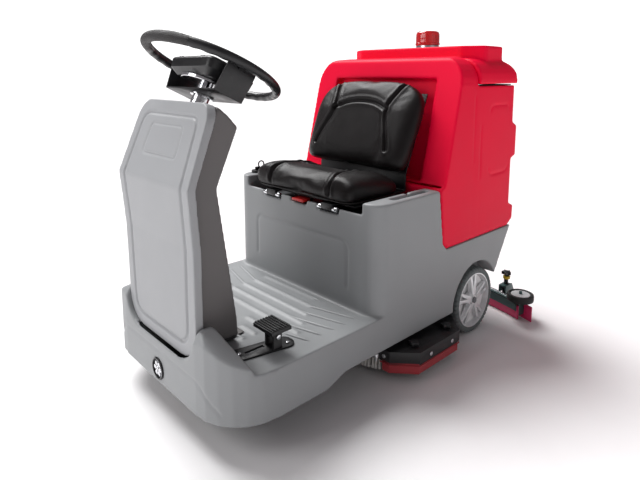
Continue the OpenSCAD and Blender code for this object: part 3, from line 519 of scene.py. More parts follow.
def stepped(line, step):
    # the corners of a line with even points between them
    points = []
    for a, b in zip(line, line[1:]):
        n = max(1, int(math.dist(a, b) / step))
        points += [(a[0] + (b[0] - a[0]) * k / n, a[1] + (b[1] - a[1]) * k / n) for k in range(n)]
    return points + [line[-1]]


def arcPoints(corners, place3, steps=8, close=False):
    loop = roundedLoop(corners, steps)
    if close:
        loop = loop + [loop[0]]
    return [place3(x, y) for x, y in stepped(loop, 0.02)]


boxFrontY = axleY - moulding["boxAhead"]
wallOutline = arcPoints([(-0.235, 0.30, 0.0), (-0.235, 0.452, 0.03), (0.235, 0.452, 0.03),
                         (0.235, 0.30, 0.0)],
                        lambda x, z: (x, boxFrontY - 0.001, z))
wallOutline = [p for p in wallOutline if not (p[2] < 0.3005 and abs(p[0]) < 0.23)]
bodySkin = skinOf("main_body")


def onNose(x, z):
    hit = bodySkin.ray_cast(Vector((x, noseY - 0.2, z)), Vector((0, 1, 0)))[0]
    return (x, (hit.y if hit else noseY) - 0.0012, z)


crease = arcPoints([(-0.31, 0.112, 0.0), (-0.215, 0.196, 0.02), (0.215, 0.196, 0.02), (0.31, 0.112, 0.0)],
                   onNose)
crease = [p for p in crease if p[2] > 0.1125]
shell = moulded("chassisShell", "main_body", 0.0045, 6,
                cuts=[lineOn(wallOutline, moulding["wallLine"]), lineOn(crease, moulding["crease"])],
                keep=0.3)
stand(shell, "main_body")
# a lip behind the foot of the panel closes the slot
backLip = box("panelBackLip", (-0.18, noseY + 0.0085, 0.204), (0.18, noseY + 0.038, 0.2065), 0.0008)
place(backLip, "chassis", finishes["blackPlastic"])

# rounded grip ribs moulded into the foot deck, their ends swept back
ribs = {"deck": 0.235, "pitch": 0.048, "straight": 0.157, "reach": 0.312, "sweep": 0.042, "round": 0.0072,
        "proud": 0.0042}
deckTop = ribs["proud"] + ribs["deck"] - ribs["round"]


def ribAt(name, corners):
    points = [(x, y, deckTop) for x, y in stepped(corners, 0.012)]
    count = len(points)
    thick = [ribs["round"] * min(1.0, math.sqrt(min(1.0, (min(k, count - 1 - k) + 0.35) / 1.6)))
             for k in range(count)]
    rib = tube(name, points, ribs["round"], sides=16, radii=thick)
    place(rib, "chassis", finishes["greyMoulding"])


for i in range(6):
    y = boxFrontY - 0.028 - i * ribs["pitch"]
    if i == 0:
        ribAt("deckRib_0", [(-ribs["straight"], y), (ribs["straight"] - 0.012, y)])
        continue
    right = [(ribs["straight"], y), (ribs["reach"], y + ribs["sweep"])]
    left = [(-ribs["reach"], y + ribs["sweep"]), (-ribs["straight"], y)]
    if i < 4:
        ribAt("deckRib_%d" % i, left + right)
    elif i == 4:
        ribAt("deckRib_4", [(-0.08, y), *right])
    else:
        ribAt("deckRib_5", [(0.225, y + 0.018), right[1]])
for i in range(3):
    y = boxFrontY - 0.268 - i * 0.044
    ribAt("shortRib_%d" % i, [(0.07 + i * 0.034, y), (0.176, y)])

bendZ = 0.69


def panelFrontY(z):
    # the front face of the panel: upright below the bend, leaning back above it
    if z > bendZ:
        return noseY + (z - bendZ) / (0.903 - bendZ) * 0.084
    if z > 0.53:
        return noseY + (bendZ - z) / 0.16 * 0.012
    return noseY + 0.012 + (0.53 - z) / 0.303 * 0.002


panelSkin = skinOf("column_panel")


def onPanel(x, z):
    hit = panelSkin.ray_cast(Vector((x, noseY - 0.2, z)), Vector((0, 1, 0)))[0]
    return (x, (hit.y if hit else panelFrontY(z)) - 0.001, z)


innerBorder = arcPoints([(-0.155, 0.266, 0.045), (-0.168, 0.69, 0.0), (-0.152, 0.866, 0.034),
                         (0.152, 0.866, 0.034),
                         (0.168, 0.69, 0.0), (0.155, 0.266, 0.045)], onPanel, close=True)
pocketLine = arcPoints([(-0.098, 0.756, 0.014), (-0.088, 0.838, 0.014), (0.088, 0.838, 0.014),
                        (0.098, 0.756, 0.014)],
                       onPanel, close=True)
panel = moulded("frontPanel", "column_panel", 0.003, 3,
                cuts=[lineOn(innerBorder, moulding["border"]), lineOn(pocketLine, moulding["pocket"])])
stand(panel, "column_panel")

cover = moulded("columnCover", "column_cover", 0.0035, 3)
stand(cover, "column_cover")

pillarY = axleY - 0.024
pillars = []
for side in (-1, 1):
    x = side * (halfWide - 0.004)
    pillars.append(lineOn([(x, pillarY - 0.026, 0.39), (x, pillarY - 0.026, 0.60),
                           (x, pillarY - 0.024, 0.90)], 0.004))
    pillars.append(lineOn([(x, pillarY + 0.024, 0.39), (x, pillarY + 0.022, 0.60),
                           (x, pillarY + 0.018, 0.90)], 0.004))
    lower = arcPoints([(axleY + 0.055, 0.60, 0.03), (axleY + 0.055, 0.86, 0.03), (axleY + 0.20, 0.86, 0.03),
                       (axleY + 0.20, 0.60, 0.03)],
                      lambda y, z, x=x: (x, y, z), close=True)
    pillars.append(lineOn(lower, 0.004))
tank = moulded("tankShell", "recovery_tank", 0.005, 6, cuts=pillars)
stand(tank, "recovery_tank")
lid = moulded("lidShell", "tank_lid", 0.005, 6)
stand(lid, "tank_lid")
print("mouldings made")

# seat
cushionShape = {"swell": 1.6, "voxel": 0.0055, "cap": 0.012, "settle": 14, "grooveWide": 0.0065}
backShape = {**cushionShape, "lean": 22.8}


def loft(name, rows):
    # rows of (centre, across, out, half across, half out, squareness, bulge); the ends are closed
    bm = bmesh.new()
    rings = []
    count = 72
    for centre, across, out, wide, deep, square, bulge in rows:
        ring = []
        for k in range(count):
            t = 2 * math.pi * k / count
            c, s = math.cos(t), math.sin(t)
            u = math.copysign(abs(c) ** square, c)
            v = math.copysign(abs(s) ** square, s)
            lift = bulge(u) if v > 0 else 0
            ring.append(bm.verts.new(centre + across * u * wide + out * (v * deep + lift * max(0, v))))
        rings.append(ring)
    skin(bm, rings, ends=True)
    return fromBmesh(name, bm)


def stuffed(obj, shape):
    # cloth swelled from inside, with how far it may move capped
    soften(obj, shape["voxel"], 3)
    freeze(obj)
    start = [v.co.copy() for v in obj.data.vertices]
    cloth = obj.modifiers.new("cloth", "CLOTH")
    cloth.settings.use_pressure = True
    cloth.settings.uniform_pressure_force = shape["swell"]
    cloth.settings.effector_weights.gravity = 0
    cloth.settings.quality = 5
    cloth.settings.tension_stiffness = 30
    cloth.settings.compression_stiffness = 30
    cloth.settings.bending_stiffness = 4
    for step in range(1, 21):
        scene.frame_set(step)
    freeze(obj)
    scene.frame_set(1)
    for vert, was in zip(obj.data.vertices, start):
        move = vert.co - was
        if move.length > shape["cap"]:
            vert.co = was + move.normalized() * shape["cap"]
    relax = obj.modifiers.new("relax", "SMOOTH")
    relax.factor = 0.5
    relax.iterations = shape["settle"]
    return freeze(obj)


def finer(obj):
    more = obj.modifiers.new("finer", "SUBSURF")
    more.levels = more.render_levels = 1
    return freeze(obj)


def nearLine(p, line):
    best = 1e9
    for a, b in zip(line, line[1:]):
        ax, ay = a
        bx, by = b
        dx, dy = bx - ax, by - ay
        t = max(0, min(1, ((p[0] - ax) * dx + (p[1] - ay) * dy) / (dx * dx + dy * dy + 1e-12)))
        best = min(best, math.hypot(p[0] - ax - dx * t, p[1] - ay - dy * t))
    return best


def grooved(obj, lines, flat, facing, shape):
    # presses sewn channels in: flat gives a point's place on the pattern, facing how much it faces out
    mesh = obj.data
    normals = [v.normal.copy() for v in mesh.vertices]
    for vert, normal in zip(mesh.vertices, normals):
        weight = facing(vert.co, normal)
        if weight <= 0:
            continue
        p = flat(vert.co)
        for line, depth in lines:
            d = nearLine(p, line)
            w = shape["grooveWide"]
            if d < w * 4:
                raised = math.exp(-((d - w * 2.2) / (w * 1.1)) ** 2) * depth * 0.22
                press = math.exp(-(d / w) ** 2) * depth - raised
                vert.co -= normal * press * weight
    return obj


def smoothLine(points, steps=10):
    out = []
    for i in range(len(points) - 1):
        p0 = Vector(points[max(0, i - 1)])
        p1, p2 = Vector(points[i]), Vector(points[i + 1])
        p3 = Vector(points[min(len(points) - 1, i + 2)])
        for k in range(steps):
            t = k / steps
            straight = (2 * p1) + (p2 - p0) * t
            bend = (2 * p0 - 5 * p1 + 4 * p2 - p3) * t * t
            twist = (3 * p1 - p0 - 3 * p2 + p3) * t ** 3
            out.append(tuple(0.5 * (straight + bend + twist)))
    out.append(tuple(points[-1]))
    return out


# cushion, lofted from front to back
cLow, cHigh = seatBox
cFront, cBack = cLow.y, cHigh.y
cHalf = cHigh.x
cushionRows = []
depth = cBack - cFront
for share, wideShare, low, high in [
        (0.0, 0.80, 0.020, 0.036), (0.012, 0.87, 0.009, 0.050), (0.04, 0.925, 0.002, 0.063),
        (0.10, 0.955, 0.0, 0.070),
        (0.22, 0.965, 0.0, 0.072), (0.40, 0.968, 0.0, 0.070), (0.60, 0.965, 0.0, 0.064),
        (0.78, 0.955, 0.0, 0.058),
        (0.90, 0.94, 0.0, 0.052), (0.97, 0.92, 0.003, 0.046), (1.0, 0.88, 0.01, 0.038)]:
    z = cLow.z + (low + high) / 2
    bolster = 0.016 if share > 0.03 else 0.006
    cushionRows.append((Vector((0, cFront + 0.006 + share * (depth - 0.004), z)), Vector((1, 0, 0)),
                        Vector((0, 0, 1)),
                        cHalf * wideShare, (high - low) / 2, 0.42,
                        lambda u, bolster=bolster: bolster * math.exp(-((abs(u) - 0.78) / 0.22) ** 2)))
cushion = stuffed(loft("seatCushion", cushionRows), cushionShape)
sideLine = smoothLine([(0.150, cFront - 0.02), (0.150, cFront + 0.03), (0.138, cFront + 0.09),
                       (0.128, cFront + 0.145)])
rearSide = smoothLine([(0.128, cFront + 0.145), (0.140, cFront + 0.19), (0.165, cBack)])
crossLine = smoothLine([(-0.128, cFront + 0.145), (0, cFront + 0.150), (0.128, cFront + 0.145)])
flip = [(-x, y) for x, y in sideLine]
flipRear = [(-x, y) for x, y in rearSide]
cushionLines = [(sideLine, 0.010), (flip, 0.010), (crossLine, 0.010), (rearSide, 0.006), (flipRear, 0.006)]
for cut in cushion.data.vertices:
    # the middle behind the cross seam is flatter and lower
    x, y = abs(cut.co.x), cut.co.y
    if cut.co.z > cLow.z + 0.04 and y > cFront + 0.14:
        cut.co.z -= 0.007 * max(0, 1 - (x / 0.15) ** 4) * min(1, (y - cFront - 0.14) / 0.02)
finer(cushion)
grooved(cushion, cushionLines, lambda p: (p.x, p.y),
        lambda p, n: max(0, min(1, (p.z - cLow.z - 0.012) / 0.02)) if n.z > 0.2 or n.y < -0.3 else 0,
        cushionShape)
cushion.data.shade_smooth()
stand(cushion, "seat_cushion")

# backrest, lofted from foot to top on its lean
lean = math.radians(backShape["lean"])
foot = Vector((0, axleY - 0.243, rimZ + 0.38 / 2 + 0.014))
backOut = Vector((0, -math.cos(lean), math.sin(lean)))
backUp = Vector((0, math.sin(lean), math.cos(lean)))
sideways = Vector((1, 0, 0))
backRows = []
for up, wide, deep in [
        (-0.163, 0.205, 0.020), (-0.160, 0.222, 0.028), (-0.150, 0.234, 0.034), (-0.125, 0.240, 0.038),
        (-0.08, 0.244, 0.038), (-0.02, 0.248, 0.037), (0.04, 0.250, 0.036), (0.08, 0.247, 0.035),
        (0.105, 0.238, 0.034),
        (0.125, 0.223, 0.033), (0.142, 0.199, 0.032), (0.154, 0.168, 0.030), (0.161, 0.130, 0.026),
        (0.164, 0.09, 0.020)]:
    wing = 0.020 * max(0.0, min(1.0, (0.15 - up) / 0.12))
    centre = foot + backUp * up - backOut * 0.004
    backRows.append((centre, sideways, backOut, wide, deep, 0.5,
                     lambda u, wing=wing: wing * (math.exp(-((abs(u) - 0.80) / 0.20) ** 2) - 0.25
                                                  * math.exp(-(u / 0.45) ** 2))))
backrest = stuffed(loft("seatBackrest", backRows), backShape)


def backFlat(p):
    d = p - foot
    return (d.x, d.dot(backUp))


finer(backrest)
backSide = smoothLine([(0.172, 0.175), (0.150, 0.12), (0.130, 0.06), (0.132, 0.02), (0.150, -0.03),
                       (0.168, -0.075), (0.176, -0.105)])
backArch = smoothLine([(-0.132, 0.040), (-0.07, 0.066), (0, 0.074), (0.07, 0.066), (0.132, 0.040)])
backLines = [(backSide, 0.010), ([(-x, y) for x, y in backSide], 0.010), (backArch, 0.009)]
grooved(backrest, backLines, backFlat, lambda p, n: 1 if n.dot(backOut) > 0.25 else 0, backShape)
backrest.data.shade_smooth()
stand(backrest, "seat_backrest")
print("seat made:", len(cushion.data.vertices), len(backrest.data.vertices))

# wheels
wheel = {"bead": 0.104, "sideBlocks": 44, "blockDepth": 0.0028, "spokes": 5, "nuts": 5}


def tyreProfile(outer, inner, half, shoulder=0.012, steps=6):
    section = [(inner, -half * 0.86), (inner + 0.006, -half * 0.96)]
    for k in range(steps + 1):
        t = math.pi / 2 * k / steps
        section.append((outer - shoulder + shoulder * math.sin(t), -half + shoulder * (1 - math.cos(t))))
    for k in range(-4, 5):
        section.append((outer + 0.0002, k * (half - shoulder) / 4.6))
    for k in range(steps + 1):
        t = math.pi / 2 * (1 - k / steps)
        section.append((outer - shoulder + shoulder * math.sin(t), half - shoulder * (1 - math.cos(t))))
    section += [(inner + 0.006, half * 0.96), (inner, half * 0.86)]
    return section


for side, name in bothSides:
    low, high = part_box("rear_tyre_" + name)
    middle = Vector(((low.x + high.x) / 2, axleY, axleZ))
    outer = (high.z - low.z) / 2
    half = (high.x - low.x) / 2

    def blocks(r, h, a, outer=outer, half=half):
        # shallow tread cuts across the shoulders
        turnShare = (a * wheel["sideBlocks"] / (2 * math.pi)) % 1
        if r > outer - 0.016 and abs(h) > half * 0.45 and turnShare < 0.28:
            r -= wheel["blockDepth"]
            h *= 0.985
        return r, h
    tyre = lathe("rearTyre_" + name, tyreProfile(outer - 0.0002, wheel["bead"], half), middle, "X", 352,
                 blocks)
    stand(tyre, "rear_tyre_" + name)
    body = "rear_wheel_" + name
    # rim: a dished ring with a rolled lip, twin spokes, a hub and its nuts
    lipX = middle.x + side * (half - 0.003)
    backX = middle.x - side * (half - 0.003)
    span = abs(lipX - backX)
    ringShape = [(0.1037, 0), (0.1037, span), (0.0995, span), (0.0975, span - 0.006), (0.0935, span * 0.7),
                 (0.0935, span * 0.25),
                 (0.0975, 0.006), (0.0975, 0.0)]
    rim = lathe("rearRim_" + name, [(r, backX + side * h - middle.x) for r, h in ringShape], middle, "X", 160)
    parts = [rim]
    for i in range(wheel["spokes"]):
        for twin in (-1, 1):
            a = 2 * math.pi * i / wheel["spokes"] + math.radians(9) * twin
            bm = bmesh.new()
            bmesh.ops.create_cube(bm, size=1)
            for v in bm.verts:
                out = v.co.z > 0
                v.co = Vector((v.co.x * (0.012 if out else 0.020), v.co.y * (0.011 if out else 0.015),
                               0.098 if out else 0.020))
                v.co.x += side * (half - 0.016 if out else half - 0.014)
            bmesh.ops.bevel(bm, geom=bm.edges, offset=0.0022, segments=3, profile=0.6, affect="EDGES")
            bmesh.ops.rotate(bm, verts=bm.verts, cent=(0, 0, 0), matrix=Matrix.Rotation(a, 3, "X"))
            bmesh.ops.translate(bm, verts=bm.verts, vec=middle)
            parts.append(shade(fromBmesh("spoke", bm)))
    hub = lathe("hub", [(0.0101, side * (half - 0.026)), (0.030, side * (half - 0.026)),
                        (0.032, side * (half - 0.012)),
                        (0.028, side * (half - 0.008)), (0.020, side * (half - 0.0085)),
                        (0.018, side * (half - 0.0045)),
                        (0.0101, side * (half - 0.0045))], middle, "X", 64)
    parts.append(hub)
    # the pale dish seen between the spokes
    dish = lathe("wheelDish_" + name, [(0.0245, side * (half - 0.034)), (0.0245, side * (half - 0.037)),
                                       (0.060, side * (half - 0.033)),
                                       (0.0934, side * (half - 0.026)), (0.0934, side * (half - 0.023)),
                                       (0.060, side * (half - 0.030))],
                 middle, "X", 128)
    place(dish, body, finishes["paleDish"])
    sleeve = lathe("sleeve", [(0.0101, -side * (half - 0.006)), (0.024, -side * (half - 0.006)),
                              (0.024, side * (half - 0.02)),
                              (0.0101, side * (half - 0.02))], middle, "X", 48)
    parts.append(sleeve)
    for i in range(wheel["nuts"]):
        a = 2 * math.pi * (i + 0.5) / wheel["nuts"]
        nut = lathe("nut", [(0.0005, side * (half - 0.0145)), (0.0042, side * (half - 0.0145)),
                            (0.0042, side * (half - 0.009)),
                            (0.003, side * (half - 0.008)), (0.0005, side * (half - 0.008))],
                    middle + Vector((0, 0.024 * math.cos(a), 0.024 * math.sin(a))), "X", 6)
        parts.append(nut)
    stand(joined(parts), "rear_rim_" + name)

fLow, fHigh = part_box("front_tyre")
fMid = middleOf(fLow, fHigh)


def ribbed(r, h, a):
    if r > 0.0785 and abs(h) < 0.033 and abs((abs(h) * 1000) % 11 - 5) < 1.3:
        r -= 0.002
    return r, h


frontSection = [(0.0602, -0.040), (0.074, -0.0418), (0.0785, -0.0405), (0.0798, -0.037)]
frontSection += [(0.0799, -0.034 + k * 0.068 / 34) for k in range(35)]
frontSection += [(0.0798, 0.037), (0.0785, 0.0405), (0.074, 0.0418), (0.0602, 0.040)]
frontTyre = lathe("driveTyre", frontSection, fMid, "X", 160, ribbed)
stand(frontTyre, "front_tyre")
standBevelled("front_hub", "driveHub", 0.0012, 3)
print("wheels made")

# steering
steer = {"rake": 26, "pivotBack": 0.067, "pivotHigh": 0.702, "reach": 0.3193, "fingerBumps": 30,
         "gripFrom": 232, "gripTo": 308, "gripProud": 0.0016}
rake = math.radians(steer["rake"])
wheelCentre = Vector((0, noseY + steer["pivotBack"] + steer["reach"] * math.sin(rake),
                      steer["pivotHigh"] + steer["reach"] * math.cos(rake)))
onRake = Matrix.Translation(wheelCentre) @ Matrix.Rotation(-rake, 4, "X")
rimR, gripR = 0.196, 0.014


def raked(obj):
    obj.data.transform(onRake)
    return obj


def rimShape(r, h, a):
    # finger bumps under the rim
    dr, dh = r - rimR, h
    inside = dr < 0.004
    wave = math.cos(a * steer["fingerBumps"])
    grow = 1 + (0.06 * wave if inside and dh < 0.004 else 0)
    return rimR + dr * grow, dh * grow


section = [(rimR + (gripR - 0.0009) * math.cos(t) * 0.98,
            (gripR - 0.0009) * math.sin(t)) for t in [2 * math.pi * k / 28 for k in range(28)]]
ring = raked(lathe("steeringRim", section, (0, 0, 0), "Z", 240, rimShape))
arms = []
for side in (-1, 1):
    arm = box("rimArm", (min(side * 0.1523, side * 0.19), -0.015, -0.0075), (max(side * 0.1523, side * 0.19),
                                                                             0.015, 0.0015), 0.003)
    arms.append(raked(arm))
stand(joined([ring, *arms]), "steering_wheel")
sleeveLine = []
for k in range(64):
    a = math.radians(steer["gripFrom"] + (steer["gripTo"] - steer["gripFrom"]) * k / 63)
    sleeveLine.append((rimR * math.cos(a), rimR * math.sin(a), 0))
ends = [gripR + steer["gripProud"] * min(1, 6 * min(k, 63 - k) / 63) - 0.0006 for k in range(64)]
sleeve = raked(tube("gripSleeve_front", sleeveLine, gripR, sides=28, radii=ends))
place(sleeve, "steering", finishes["gripRubber"])

consoleOutline = roundedLoop([(-0.112, -0.078, 0.022), (0.112, -0.078, 0.022), (0.126, 0.02, 0.02),
                              (0.092, 0.092, 0.02),
                              (-0.092, 0.092, 0.02), (-0.126, 0.02, 0.02)], 4)
bm = bmesh.new()
rows = []
consoleLevels = [(-0.0455, 0.78, 0.72), (-0.028, 0.97, 0.96), (-0.004, 1.0, 1.0), (0.0005, 0.985, 0.98),
                 (0.0035, 0.95, 0.94)]
for z, scaleX, scaleY in consoleLevels:
    rows.append([bm.verts.new((x * scaleX, y * scaleY, z)) for x, y in consoleOutline])
skin(bm, rows)
bm.faces.new(rows[0][::-1])
bm.faces.new(rows[-1])
console = raked(shade(fromBmesh("consoleBox", bm), 22))
stand(console, "console_box")
for k, x in enumerate((-0.066, -0.052, 0.052, 0.066)):
    bar = raked(box("consoleSlot_%d" % k, (x - 0.0045, -0.0745, 0.0032), (x + 0.0045, -0.0665, 0.0046),
                    0.0006, 2))
    place(bar, "steering", finishes["chrome"])
for k in range(5):
    dot = raked(lathe("consoleLamp_%d" % k, [(0.0003, 0.0034), (0.0032, 0.0034), (0.0032, 0.0046),
                                             (0.0022, 0.0056), (0.0003, 0.0058)],
                      (-0.028 + k * 0.014, -0.02, 0), "Z", 20))
    place(dot, "steering", finishes["beacon" if k == 0 else "lens"])
standBevelled("console_bracket", "consoleBracket")
collars = []
for name, profile in {
        "hubDisc": [(0.0125, -0.056), (0.0725, -0.056), (0.074, -0.0545), (0.074, -0.0475), (0.0725, -0.046),
                    (0.064, -0.046),
                    (0.063, -0.0472), (0.058, -0.0472), (0.057, -0.046), (0.048, -0.046), (0.047, -0.0472),
                    (0.042, -0.0472),
                    (0.041, -0.046), (0.0125, -0.046)],
        "neck": [(0.0111, -0.080), (0.0185, -0.080), (0.020, -0.0785), (0.020, -0.057), (0.0185, -0.0555),
                 (0.0111, -0.0555)],
        "flange": [(0.0111, -0.090), (0.0325, -0.090), (0.034, -0.0888), (0.034, -0.0852), (0.0325, -0.0842),
                   (0.0111, -0.0842)],
        "barrel": [(0.0111, -0.122), (0.0235, -0.122), (0.025, -0.1205), (0.025, -0.108), (0.0242, -0.107),
                   (0.0242, -0.104),
                   (0.025, -0.103), (0.025, -0.0905), (0.0111, -0.0905)]}.items():
    collars.append(raked(lathe("collar", profile, (0, 0, 0), "Z", 96)))
screw = raked(lathe("collarScrew", [(0.0005, -0.027), (0.003, -0.027), (0.0032, -0.0268), (0.005, -0.0266),
                                    (0.005, -0.0245), (0.0005, -0.0245)],
                    (0, 0, -0.106), "Y", 24))
steeringCollars = joined([*collars, screw])
steeringCollars.name = "steeringCollars"
stand(steeringCollars, "steering_collars")
for node, name in (("key_switch", "keySwitch"), ("stop_button", "stopButton"),
                   ("steering_fork", "steeringFork"),
                   ("drive_motor", "driveMotor"), ("column_post", "columnPost")):
    standBevelled(node, name)
print("steering made")

# headlight
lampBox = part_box("headlight_ring")
lampMid = middleOf(*lampBox)
lampFront = lampBox[0].y
ringSection = [(0.0272, 0.006), (0.0272, 0.0012), (0.0278, 0.0004), (0.0295, 0.0), (0.0308, 0.001),
               (0.031, 0.003), (0.031, 0.006)]
bezel = lathe("headlightRing", [(r, lampFront + h) for r, h in ringSection], (0, 0, lampMid.z), "Y", 96)
stand(bezel, "headlight_ring")
lensZ = lampMid.z
lensShell = lathe("headlightLens", [(0.0003, lampFront + 0.0035), (0.012, lampFront + 0.0036),
                                    (0.0225, lampFront + 0.0044),
                                    (0.0262, lampFront + 0.0052), (0.0266, lampFront + 0.0108),
                                    (0.0003, lampFront + 0.0108)],
                  (0, 0, lensZ), "Y", 64)
stand(lensShell, "headlight_lamp")
for i in range(7):
    a = 2 * math.pi * i / 6
    r = 0 if i == 6 else 0.0155
    x, z = r * math.cos(a), lensZ + r * math.sin(a)
    cup = lathe("headlightCup_%d" % i, [(0.0004, 0.0042), (0.0048, 0.0032), (0.0066, 0.0022),
                                        (0.0068, 0.0026), (0.0068, 0.0055), (0.0004, 0.0055)],
                (x, lampFront, z), "Y", 32)
    place(cup, "chassis", finishes["chrome"])

# pedal
for node, name in (("pedal_base", "pedalBase"), ("pedal_screws", "pedalScrews"),
                   ("drive_pedal", "drivePedal")):
    standBevelled(node, name)

# seat ironwork
for node, name, width in (("seat_hinges", "seatHinges", 0.0006), ("seat_plate", "seatPlate", 0.0008),
                          ("seat_shell", "seatShell", 0.0015), ("seat_release", "seatLatch", 0.001)):
    standBevelled(node, name, width)
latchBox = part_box("seat_release")
for k in range(4):
    x = -0.018 + k * 0.012
    bump = box("latchBump_%d" % k, (x - 0.003, latchBox[0].y - 0.0003, latchBox[0].z + 0.001),
               (x + 0.003, latchBox[0].y + 0.002, latchBox[1].z - 0.001), 0.0008, 2)
    place(bump, "seat_latch", finishes["redPlastic"])


def edgeCord(name, points, body, radius=0.003):
    cord = tube(name, points, radius, closed=True, sides=10)
    return place(cord, body, finishes["vinyl"])


# sewn piping round the foot of the cushion and the back of the backrest
plan = roundedLoop([(-cHalf + 0.016, cFront + 0.012, 0.05), (-cHalf + 0.016, cBack - 0.012, 0.03),
                    (cHalf - 0.016, cBack - 0.012, 0.03),
                    (cHalf - 0.016, cFront + 0.012, 0.05)], 10)
edgeCord("cushionPiping", [(x, y, cLow.z + 0.006) for x, y in plan], "seat")
outline = []
for up, wide in [(-0.155, 0.222), (-0.12, 0.236), (-0.06, 0.243), (0.0, 0.248), (0.05, 0.249), (0.09, 0.243),
                 (0.115, 0.232),
                 (0.135, 0.212), (0.15, 0.185), (0.16, 0.15), (0.166, 0.10), (0.168, 0.05)]:
    outline.append((wide, up))
loop = smoothLine([(wide * 0.95, up * 0.965) for wide, up in outline], 5)
loop = loop + [(-x, u) for x, u in reversed(loop)]
edgeCord("backPiping", [foot + sideways * x + backUp * u - backOut * 0.024 for x, u in loop], "seat")

# filler
standBevelled("filler_cap", "fillerCap", 0.001, 3)

# tank furniture
for node, name in (("lid_seal", "lidSeal"), ("vacuum_motor", "vacuumMotor"), ("beacon_base", "beaconBase")):
    standBevelled(node, name, 0.001)
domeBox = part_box("beacon_dome")
domeMid = middleOf(*domeBox)
z0, z1 = domeBox[0].z, domeBox[1].z
domeHigh = z1 - z0


def fluted(r, h, a):
    # upright flutes round the dome
    if r > 0.046 and 0.012 < h - z0 < domeHigh - 0.012:
        r -= 0.0007 * (1 + math.cos(a * 48)) / 2
    return r, h


domeProfile = [(0.0004, z0), (0.0485, z0), (0.050, z0 + 0.0015), (0.050, z0 + 0.009), (0.0488, z0 + 0.0105),
               (0.0485, z0 + 0.014),
               (0.0485, z0 + domeHigh * 0.45), (0.0482, z0 + domeHigh * 0.72), (0.047, z0 + domeHigh * 0.84),
               (0.043, z0 + domeHigh * 0.93),
               (0.035, z0 + domeHigh * 0.975), (0.022, z1 - 0.0006), (0.0004, z1)]
dome = lathe("beaconDome", domeProfile, (domeMid.x, domeMid.y, 0), "Z", 192, fluted)
stand(dome, "beacon_dome")

# brush deck
for node, name, width in (("brush_deck", "deckPlates", 0.0015), ("deck_skirts", "deckSkirts", 0.0012),
                          ("deck_bolts", "deckBolts", 0.0015),
                          ("deck_knobs", "deckKnobs", 0.002), ("brush_motors", "brushMotors", 0.002),
                          ("deck_actuator", "deckActuator", 0.001),
                          ("actuator_rod", "actuatorRod", 0.0008), ("drain_valve", "drainValve", 0.0008)):
    standBevelled(node, name, width, 3)
deckLow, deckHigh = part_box("brush_deck")
deckY = (deckLow.y + deckHigh.y) / 2
deckHalf = deckHigh.x
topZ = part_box("brush_motors")[0].z


def skirtLine(o, side):
    pts = [(deckHalf - 0.110 + o, deckY - 0.182 - o), (deckHalf - 0.070 + o, deckY - 0.182 - o),
           (deckHalf + o, deckY - 0.116 - o * 0.4),
           (deckHalf + o, deckY + 0.108 + o * 0.4), (deckHalf - 0.084 + o, deckY + 0.183 + o),
           (deckHalf - 0.110 + o, deckY + 0.183 + o)]
    return [(side * x, y) for x, y in pts]


for side, name in bothSides:
    line = skirtLine(-0.001, side)
    fine = []
    for a, b in zip(line, line[1:]):
        fine += [tuple(Vector(a).lerp(Vector(b), k / 6)) for k in range(6)]
    fine.append(line[-1])
    strip = tube("deckEdge_" + name, [(x, y, topZ - 0.0035) for x, y in fine], 0.0016, sides=8)
    place(strip, "deck", finishes["redRubber"])
    lip = tube("deckLip_" + name, [(x * (1 - 0.012), deckY + (y - deckY) * 0.97, topZ) for x, y in fine],
               0.0024, sides=8)
    place(lip, "deck", finishes["blackSteel"])

# brushes: a plate, a hub and rings of splayed tufts
brushShape = {"rings": (0.118, 0.134, 0.150, 0.166, 0.182, 0.194), "tuft": 0.0052, "around": 6.2,
              "top": 0.0558}
for side, name in bothSides:
    low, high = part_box("brush_" + name)
    middle = Vector(((low.x + high.x) / 2, (low.y + high.y) / 2, 0))
    outer = (high.x - low.x) / 2
    disc = lathe("brushPlate_" + name, [(0.00905, 0.0615), (0.00905, high.z), (0.014, high.z),
                                        (0.016, high.z - 0.002), (0.016, 0.0735),
                                       (0.018, 0.0718), (outer - 0.010, 0.0718), (outer - 0.006, 0.068),
                                       (outer - 0.006, 0.0555), (0.0905, 0.0555), (0.0905, 0.0615)],
                 middle, "Z", 128)
    place(disc, bodyOf["brush_" + name], finishes["motorGrey"], ("brush_" + name,))
    bm = bmesh.new()
    rnd = random.Random(11)
    for ringR in brushShape["rings"]:
        count = int(2 * math.pi * ringR / (brushShape["around"] / 1000 * 1.9))
        for i in range(count):
            a = 2 * math.pi * i / count + rnd.uniform(-0.01, 0.01)
            splay = (ringR - 0.12) * 0.05 + rnd.uniform(-0.002, 0.002)
            topP = Vector((ringR * math.cos(a), ringR * math.sin(a), brushShape["top"]))
            footR = min(outer - 0.0055, ringR + 0.003 + splay)
            footP = Vector((footR * math.cos(a), footR * math.sin(a), low.z + rnd.uniform(0, 0.0012)))
            rings = []
            for p, r in ((topP, 0.0030), (topP.lerp(footP, 0.5), 0.0040), (footP, brushShape["tuft"])):
                rings.append([bm.verts.new(middle + p + Vector((math.cos(t), math.sin(t),
                                                                0)) * r) for t in [2 * math.pi * k / 7
                                                                                   for k in range(7)]])
            skin(bm, rings)
            bm.faces.new(rings[-1])
            bm.faces.new(rings[0])
    tufts = fromBmesh("bristles_" + name, bm)
    shade(tufts, 60)
    place(tufts, bodyOf["brush_" + name], finishes["bristle"])
print("deck made")

